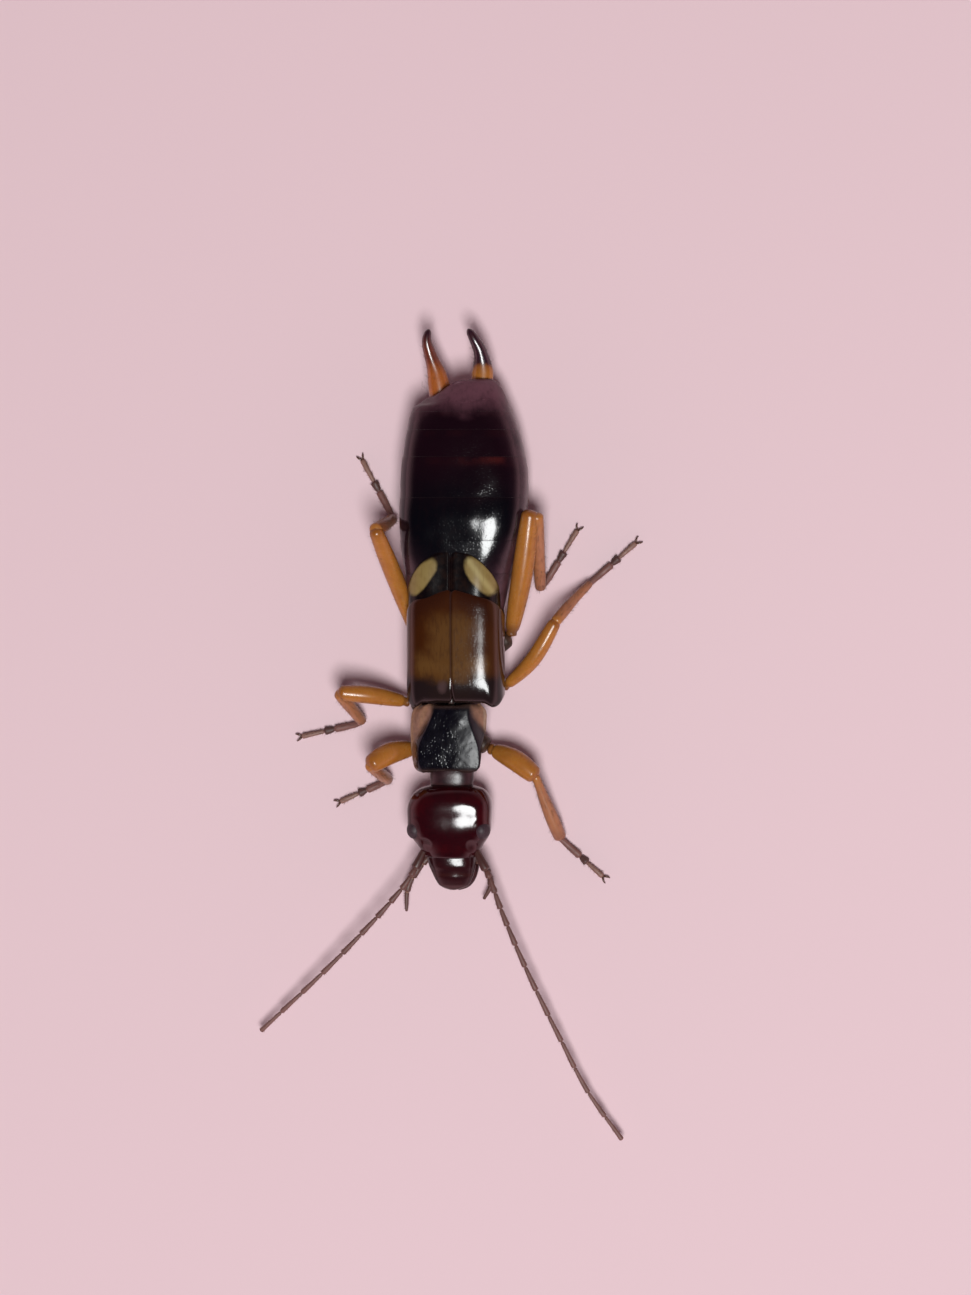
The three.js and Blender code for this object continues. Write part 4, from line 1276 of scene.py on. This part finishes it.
def build_wings():
    thick = sizes().wing_case / MM
    leather, fan = wing_case_leather(), folded_wing()
    for name, side in SIDES:
        piece(f"wing_case_{name}", leaf(110, 160, tegmen_face(side), lambda q, v: thick), leather,
              "wing_case", f"tegmen_{name}")
        piece(f"folded_wing_{name}", leaf(90, 120, wing_face(side), lambda q, v: 0.05), fan,
              "hindwing_tip", f"hindwing_tip_{name}")
    piece("scutellum", leaf(20, 28, scutellum_face, lambda q, v: 0.06), underside_cuticle(), "wing_case")


# Abdomen

TUCK = 0.12                     # how far a plate's front reaches under the one before it
TAIL_CUT = 0.44                 # how far the last plate's right corner is cut back


def plate_relief(start, end, last):
    """Rises from a tucked front to a lifted hem, with the back plate lapping the belly plate."""
    step = sizes().plate_step

    def relief(x, y, angle):
        half = ABDOMEN(y)[0]
        t = (y - start) / (end - start)
        rise = step * half * (smooth(-0.1, 0.95, t) - 0.75)
        under = smooth(-0.22, -0.3, math.sin(angle))
        rise -= 0.03 * half * under + 0.012 * bell(math.sin(angle) + 0.24, 0.04)
        rise += 0.006 * math.sin(math.pi * min(max(t, 0), 1)) * (end - start)
        if last:
            above = smooth(0.0, 0.5, math.sin(angle))
            rise -= 0.05 * bell(x, 0.2) * smooth(0.3, 1.0, t) * above
            rise += 0.04 * bell(abs(x) - 0.6, 0.2) * smooth(0.5, 1.0, t) * above
        return rise + 0.014 * ripple(x * 1.9, y * 1.6, 7)
    return relief


def plate_run(start, end, last):
    """Stations of one plate and the share of the section's size at each. The front closes
    under the plate before it, and the rear turns in so that the next plate tucks into it."""
    run = [(start - TUCK, 0.0), (start - TUCK, 0.5), (start - TUCK, 0.9), (start - TUCK + 0.02, 0.95),
           (start - 0.06, 0.978), (start - 0.045, 0.99), (start - 0.035, 0.9972), (start - 0.02, 0.998)]
    count = 30
    run += [(mix(start, end - 0.03, i / count), 1 - 0.0018 * (1 - i / count) ** 3) for i in range(count + 1)]
    if last:
        run = [(y, scale * mix(0.84, 1.0, dome(end - y, 0.42)) if y > start + 0.01 else scale)
               for y, scale in run]
        return run + [(end - 0.012, 0.86), (end, 0.82), (end + 0.005, 0.7), (end + 0.005, 0.4),
                      (end + 0.005, 0.0)]
    return run + [(end - 0.012, 0.9995), (end, 0.9985), (end - 0.002, 0.994), (end - 0.04, 0.983),
                  (end - 0.14, 0.968), (end - 0.14, 0.5), (end - 0.14, 0.0)]


def abdomen_plate(index):
    """One ring of the abdomen. The last one sits askew and is cut back at its right corner."""
    start, end = PLATE_ENDS[index], PLATE_ENDS[index + 1]
    last = index == len(PLATE_ENDS) - 2
    relief, run = plate_relief(start, end, last), plate_run(start, end, last)
    rows = len(run) - 1

    def shape(u, v):
        y, scale = run[round(v * rows)]
        angle = TAU * (u % 1.0) - math.pi / 2
        x, z, wide = section(ABDOMEN, y, angle)
        rise = relief(x, min(y, end), angle) if scale > 0.9 else 0.0
        x, z = (x + rise * math.cos(angle)) * scale, (z + rise * math.sin(angle)) * scale
        askew = smooth(start, end, y) if last else 0.0
        tilt = TAIL_TURN * askew
        cut = TAIL_CUT * smooth(0.1, -0.9, x) * askew
        return Vector((MIDDLE(y)[0] + x * math.cos(tilt), y + x * math.sin(tilt) - cut, wide + z))
    return sheet(rows, 144, shape)


def build_abdomen():
    cuticle = abdomen_cuticle()
    for index in range(len(PLATE_ENDS) - 1):
        piece(f"abdomen_plate_{index + 1}", abdomen_plate(index), cuticle, "abdomen_shell",
              f"abdomen_{index + 1}")


FORCEPS = {
    "left": ((0.82, 8.95, 1.04), (0.86, 9.45, 1.05), (0.8, 9.95, 1.15), (0.63, 10.32, 1.27),
             (0.46, 10.6, 1.3)),
    "right": ((-0.36, 8.6, 1.02), (-0.47, 9.3, 1.06), (-0.65, 9.88, 1.16), (-0.73, 10.28, 1.26),
              (-0.66, 10.6, 1.28)),
}
FORCEPS_GIRTH = track([
    (0, 0.31, 0.22), (0.25, 0.3, 0.215), (0.4, 0.25, 0.195), (0.52, 0.205, 0.18), (0.72, 0.165, 0.155),
    (0.9, 0.12, 0.11), (1, 0.07, 0.06)])


def forceps_ridge(side):
    """A swelling and a row of small teeth on the inner side of an arm."""
    inwards = math.pi if side > 0 else 0

    def relief(t, angle):
        inner = bell((angle - inwards + math.pi) % TAU - math.pi, 0.45)
        teeth = smooth(0.25, 0.35, t) * smooth(0.9, 0.6, t) * (0.6 + 0.4 * math.cos(t * 90))
        return inner * (0.02 * bell(t - 0.2, 0.07) + 0.012 * teeth)
    return relief


def build_forceps():
    finish = forceps_cuticle()
    for name, side in SIDES:
        arm = tapered_limb(Line(*FORCEPS[name]), FORCEPS_GIRTH, (0.12, 0.12), 70, 0.4)
        skin = arm.skin(40, forceps_ridge(side))
        piece(f"forceps_{name}_arm", skin, finish, "forceps", f"forceps_{name}")
        HAIRY.append((arm, 26, 0.15, 0.8, 0.16, 0.005))


# Legs

Leg = namedtuple("Leg", "root hip knee ankle toe thigh bow shin shift", defaults=((0, 0, 0),))

# Root in the thorax, hip, knee, ankle and toe, the thigh's half width and how far it bows, the
# shin's half widths at knee and ankle, and how far beside the thigh's end the shin starts.
LEGS = {
    "front_left": Leg(
        (0.42, -1.05, 0.6), (0.98, -1.37, 0.66), (2.39, -2.17, 1.15), (3.01, -4.0), (4.2, -5.06),
        thigh=0.3, bow=(0.1, 0.05, 0.12), shin=(0.12, 0.195)),
    "front_right": Leg(
        (-0.52, -1.05, 0.6), (-1.08, -1.37, 0.68), (-2.3, -1.85, 1.75), (-1.98, -2.31), (-3.42, -2.94),
        thigh=0.31, bow=(-0.05, 0.1, 0.1), shin=(0.17, 0.18)),
    "middle_left": Leg(
        (0.85, 0.1, 0.56), (1.38, 0.32, 0.6), (2.98, 2.23, 1.3), (3.87, 3.37), (5.15, 4.49),
        thigh=0.225, bow=(0.12, -0.12, 0.12), shin=(0.155, 0.125)),
    "middle_right": Leg(
        (-0.75, -0.05, 0.56), (-1.3, -0.08, 0.62), (-3.22, 0.21, 1.45), (-2.73, -0.66), (-4.54, -1.06),
        thigh=0.25, bow=(0, 0.06, 0.12), shin=(0.19, 0.16)),
    "hind_left": Leg(
        (1.0, 1.5, 0.52), (1.6, 1.8, 0.58), (2.3, 5.36, 1.62), (2.42, 3.14), (3.46, 4.86),
        thigh=0.3, bow=(0.05, 0, 0.02), shin=(0.185, 0.17), shift=(0.19, -0.08, -0.02)),
    "hind_right": Leg(
        (-0.75, 1.4, 0.5), (-1.08, 1.72, 0.5), (-2.06, 4.84, 2.25), (-1.86, 5.2), (-2.78, 6.9),
        thigh=0.25, bow=(-0.04, 0.1, -0.16), shin=(0.2, 0.17)),
}
ANKLE_Z, SOLE_Z, TOE_Z = 0.24, 0.105, 0.09
COXA_GIRTH = track([(0, 0.34, 0.32), (0.5, 0.3, 0.28), (1, 0.22, 0.21)])
FOOT_JOINTS = ((0.48, 0.95, 1.12), (0.16, 0.9, 1.25), (0.36, 0.62, 0.85))      # shares of length and width
CLAW = ((0, 0.015, 0), (0.08, 0.07, 0.03), (0.15, 0.1, -0.005), (0.18, 0.09, -0.06))    # ahead, aside, up
CLAW_GIRTH = track([(0, 0.034, 0.034), (0.5, 0.026, 0.026), (1, 0.006, 0.006)])


def thigh_limb(hip, knee, bow, thigh_half):
    middle = hip.lerp(knee, 0.5) + bow
    line = Line(hip, middle, knee + (knee - middle).normalized() * 0.07)
    start = min(0.3 / line.length, 0.3)

    def girth(t):
        """Trochanter ring at the hip, a swollen thigh, and its end at the knee."""
        trochanter = thigh_half * 0.56 * smooth(0, 0.02, t)
        past = min(max((t - start * 0.6) / (1 - start * 0.6), 0), 1)
        body = thigh_half * (0.5 + 0.52 * math.sin(math.pi * mix(0.06, 0.86, past)) ** 0.8)
        half = mix(trochanter, body, smooth(start * 0.55, start * 0.95, t))
        half -= 0.02 * bell(t - start * 0.62, 0.025)
        return half, half * 0.94
    return tapered_limb(line, girth, (0.1, 0.16), 60, 0.35)


def shin_limb(top, ankle, bow, halves):
    narrow, broad = (half * sizes().tibia / MM / TIBIA_HALF for half in halves)
    line = Line(top - (ankle - top).normalized() * 0.05, top.lerp(ankle, 0.5) - bow * 0.15, ankle)

    def girth(t):
        half = mix(narrow, broad, smooth(0.1, 0.75, t)) + 0.01 * bell(t - 0.35, 0.25)
        half -= 0.015 * smooth(0.8, 1.0, t)
        return half, half * 0.92
    return tapered_limb(line, girth, (0.12, 0.1), 44, 0.4, up=Vector((bow.y, -bow.x, 0.3)).normalized())


def foot_limb(knee, ankle, toe):
    half = sizes().tarsus / MM
    flat = Vector((ankle.x, ankle.y, 0))
    reach = Vector((toe.x, toe.y, 0)) - flat
    sole = [flat + reach * part + UP * height for part, height in (
        (0.1, SOLE_Z + 0.05), (0.3, SOLE_Z), (0.55, SOLE_Z), (0.8, SOLE_Z + 0.02))]
    line = Line(ankle + (knee - ankle).normalized() * 0.06, *sole, toe)
    joints = [(line.length * length, half * base, half * end) for length, base, end in FOOT_JOINTS]
    return beaded_limb(line, joints, flat=0.86, neck=0.6, shoulder=0.06)


def claws(toe, heading):
    """A pair of small hooks at the end of a foot."""
    aside = heading.cross(UP)
    hooks = []
    for side in (1, -1):
        line = Line(*(toe + heading * ahead + aside * side * out + UP * up for ahead, out, up in CLAW))
        hooks.append(tapered_limb(line, CLAW_GIRTH, (0.03, 0.02), 14, 0.4).skin(10))
    return join(*hooks)


def build_leg(name, leg, finishes):
    root, hip, knee, bow = map(Vector, (leg.root, leg.hip, leg.knee, leg.bow))
    ankle, toe = Vector((*leg.ankle, ANKLE_Z)), Vector((*leg.toe, TOE_Z))
    coxa = tapered_limb(Line(root, root.lerp(hip, 0.5), hip), COXA_GIRTH, (0.15, 0.12), 26, 0.6)
    thigh = thigh_limb(hip, knee, bow, leg.thigh)
    shin = shin_limb(knee + Vector(leg.shift), ankle, bow, leg.shin)
    foot = foot_limb(knee, ankle, toe)
    heading = Vector((toe.x - ankle.x, toe.y - ankle.y, 0)).normalized()

    piece(f"{name}_coxa", coxa.skin(28), finishes["coxa"], "leg", f"coxa_{name}")
    piece(f"{name}_thigh", thigh.skin(28), finishes["thigh"], "leg", f"femur_{name}")
    piece(f"{name}_shin", shin.skin(22), finishes["shin"], "leg", f"tibia_{name}")
    piece(f"{name}_foot", foot.skin(18), finishes["foot"], "tarsus", f"tarsus_{name}")
    piece(f"{name}_claws", claws(toe, heading), finishes["claws"], "tarsus")
    hair = sizes().hair / MM
    HAIRY.append((thigh, 40, 0.2, 0.98, hair * 0.9, 0.005))
    HAIRY.append((shin, 130, 0.08, 0.98, hair, 0.005))
    HAIRY.append((foot, 150, 0.08, 0.94, hair * 0.8, 0.0045))


def build_legs():
    finishes = {"coxa": coxa_cuticle(), "thigh": leg_cuticle(), "shin": shin_cuticle(),
                "foot": foot_cuticle(), "claws": claw_horn()}
    for name, leg in LEGS.items():
        build_leg(name, leg, finishes)


# Hairs

def build_hairs():
    down = Down(sizes().hair_seed)
    for hairy in HAIRY:
        down.limb(*hairy)
    draw = down.draw
    for end in PLATE_ENDS[1:]:
        down.next_tile()
        for _ in range(18):
            angle = draw.uniform(-0.5, 0.45)
            angle = math.pi - angle if draw.random() < 0.5 else angle
            x, z, wide = section(ABDOMEN, end, angle)
            root = Vector((MIDDLE(end)[0] + x, end - draw.uniform(0.02, 0.3), wide + z))
            lie = Vector((math.cos(angle) * 0.35, 1, math.sin(angle) * 0.35)).normalized()
            down.hair(root, lie, draw.uniform(0.06, 0.14), 0.004, angle / TAU, draw.random())
    down.gather()
    piece("fine_hairs", down.bm, hair_bristle(), "leg")


# Stage

LOOK_AT = Vector((0.93, 1.5, 1.0))      # the middle of the photo, in the animal's millimetres
VIEW_HEIGHT = 37.0                      # millimetres of the scene from the bottom to the top of the photo
CAMERA_LEAN = math.radians(8)
SENSOR_WIDTH = 36
WINDOW_WAY = Vector((0.15, -0.29, 0.945)).normalized()
WINDOW_WIDTH, WINDOW_HEIGHT, WINDOW_AWAY = 0.1, 0.13, 0.3


def build_floor(paint):
    bm = bmesh.new()
    bmesh.ops.create_grid(bm, x_segments=8, y_segments=8, size=1.5)
    mesh = bpy.data.meshes.new("floor")
    bm.to_mesh(mesh)
    bm.free()
    finish = Finish("floor paint")
    tone = finish.blend(finish.grain(0.02).between(0.3, 0.7) * 0.3, paint, (0.63, 0.465, 0.495, 1))
    mesh.materials.append(finish.surface(tone, 0.75))
    floor = add("floor", mesh)


def build_window(target, radiance):
    """A small window light, which makes the bright spots on the head, pronotum and plates."""
    light = bpy.data.lights.new("window", "AREA")
    light.shape = "ELLIPSE"
    light.size, light.size_y = WINDOW_WIDTH, WINDOW_HEIGHT
    light.energy = radiance * WINDOW_WIDTH * WINDOW_HEIGHT * math.pi ** 2 / 4
    light.color = (0.985, 1.0, 1.0)
    made = add("window", light)
    made.location = target + WINDOW_WAY * WINDOW_AWAY
    made.rotation_euler = WINDOW_WAY.to_track_quat("Z", "Y").to_euler()


def build_room(strength):
    """Light from all round, pale near the horizon and dim overhead and behind the animal."""
    room = Finish("studio", bpy.data.worlds.new("studio"))
    way = room.node("ShaderNodeTexCoord", out="Generated")
    height = room.node("ShaderNodeSeparateXYZ", inputs={0: way}, out=2)
    behind = room.node("ShaderNodeSeparateXYZ", inputs={0: way}, out=1)
    tone = room.layers(
        (1.0, 0.58, 0.65, 1),
        (height.between(0.08, 0.62), (0.03, 0.03, 0.04, 1)),
        (behind.between(0.1, 0.8) * 0.65, (0.05, 0.04, 0.045, 1)))
    light = room.node("ShaderNodeBackground", {}, {"Color": tone, "Strength": strength})
    room.node("ShaderNodeOutputWorld", {}, {"Surface": light})
    bpy.context.scene.world = room.material


def build_camera(target, distance):
    """Looks down on the animal from a little to its left."""
    data = bpy.data.cameras.new("camera")
    data.sensor_width = SENSOR_WIDTH
    data.lens = SENSOR_WIDTH * distance / (VIEW_HEIGHT * MM)
    data.clip_start, data.clip_end = 0.005, 10
    camera = add("camera", data)
    back_way, ahead = Vector((math.sin(CAMERA_LEAN), 0, math.cos(CAMERA_LEAN))), Vector((0, 1, 0))
    turn = Matrix((ahead.cross(back_way), ahead, back_way)).transposed()
    camera.matrix_world = Matrix.Translation(target + back_way * distance) @ turn.to_4x4()
    bpy.context.scene.camera = camera


def build_stage():
    stage = bpy.context.scene.earwig.stage
    target = (LOOK_AT + SHIFT) * MM
    bpy.context.scene.view_settings.view_transform = "Standard"
    build_floor(stage.floor)
    build_window(target, stage.key)
    build_room(stage.sky)
    build_camera(target, stage.distance)


# Operators and panel

class EARWIG_OT_head(bpy.types.Operator):
    """Head capsule and eyes"""
    bl_idname = "earwig.head"
    bl_label = "Head"

    def execute(self, context):
        build_head()
        return {"FINISHED"}


class EARWIG_OT_mouth(bpy.types.Operator):
    """Lip, jaws and jaw feelers"""
    bl_idname = "earwig.mouth"
    bl_label = "Mouthparts"

    def execute(self, context):
        build_mouth()
        return {"FINISHED"}


class EARWIG_OT_antennae(bpy.types.Operator):
    """Antennae, joint by joint"""
    bl_idname = "earwig.antennae"
    bl_label = "Antennae"

    def execute(self, context):
        build_antennae()
        return {"FINISHED"}


class EARWIG_OT_pronotum(bpy.types.Operator):
    """Shield behind the head"""
    bl_idname = "earwig.pronotum"
    bl_label = "Pronotum"

    def execute(self, context):
        build_pronotum()
        return {"FINISHED"}


class EARWIG_OT_thorax(bpy.types.Operator):
    """Neck and the plates of the thorax"""
    bl_idname = "earwig.thorax"
    bl_label = "Thorax"

    def execute(self, context):
        build_thorax()
        return {"FINISHED"}


class EARWIG_OT_wings(bpy.types.Operator):
    """Wing cases and the tips of the folded wings"""
    bl_idname = "earwig.wings"
    bl_label = "Wings"

    def execute(self, context):
        build_wings()
        return {"FINISHED"}


class EARWIG_OT_abdomen(bpy.types.Operator):
    """Overlapping plates of the abdomen"""
    bl_idname = "earwig.abdomen"
    bl_label = "Abdomen"

    def execute(self, context):
        build_abdomen()
        return {"FINISHED"}


class EARWIG_OT_forceps(bpy.types.Operator):
    """The two arms of the forceps"""
    bl_idname = "earwig.forceps"
    bl_label = "Forceps"

    def execute(self, context):
        build_forceps()
        return {"FINISHED"}


class EARWIG_OT_legs(bpy.types.Operator):
    """Six legs with feet and claws"""
    bl_idname = "earwig.legs"
    bl_label = "Legs"

    def execute(self, context):
        build_legs()
        return {"FINISHED"}


class EARWIG_OT_hairs(bpy.types.Operator):
    """Fine hairs on the limbs and plate edges"""
    bl_idname = "earwig.hairs"
    bl_label = "Hairs"

    def execute(self, context):
        build_hairs()
        return {"FINISHED"}


class EARWIG_OT_stage(bpy.types.Operator):
    """Floor, lights and camera"""
    bl_idname = "earwig.stage"
    bl_label = "Stage"

    def execute(self, context):
        build_stage()
        return {"FINISHED"}


STEPS = (
    EARWIG_OT_head, EARWIG_OT_mouth, EARWIG_OT_antennae, EARWIG_OT_pronotum, EARWIG_OT_thorax,
    EARWIG_OT_wings, EARWIG_OT_abdomen, EARWIG_OT_forceps, EARWIG_OT_legs, EARWIG_OT_hairs, EARWIG_OT_stage)


class EARWIG_PT_panel(bpy.types.Panel):
    """Lists the sizes, the colours and the pieces"""
    bl_idname = "EARWIG_PT_panel"
    bl_label = "Earwig"
    bl_space_type = "VIEW_3D"
    bl_region_type = "UI"
    bl_category = "Earwig"

    def draw(self, context):
        settings = context.scene.earwig
        for group in (settings.sizes, settings.colours, settings.stage):
            box = self.layout.box()
            for name in group.__annotations__:
                box.prop(group, name)
        for step in STEPS:
            self.layout.operator(step.bl_idname)


CLASSES = (EarwigSizes, EarwigColours, EarwigStage, EarwigSettings, *STEPS, EARWIG_PT_panel)


def register():
    for cls in CLASSES:
        bpy.utils.register_class(cls)
    bpy.types.Scene.earwig = PointerProperty(
        name="Earwig", description="Sizes, colours and stage of the earwig", type=EarwigSettings)


def unregister():
    del bpy.types.Scene.earwig
    for cls in reversed(CLASSES):
        bpy.utils.unregister_class(cls)


def main():
    register()
    for step in STEPS:
        group, name = step.bl_idname.split(".")
        getattr(getattr(bpy.ops, group), name)()


if __name__ == "__main__":
    main()
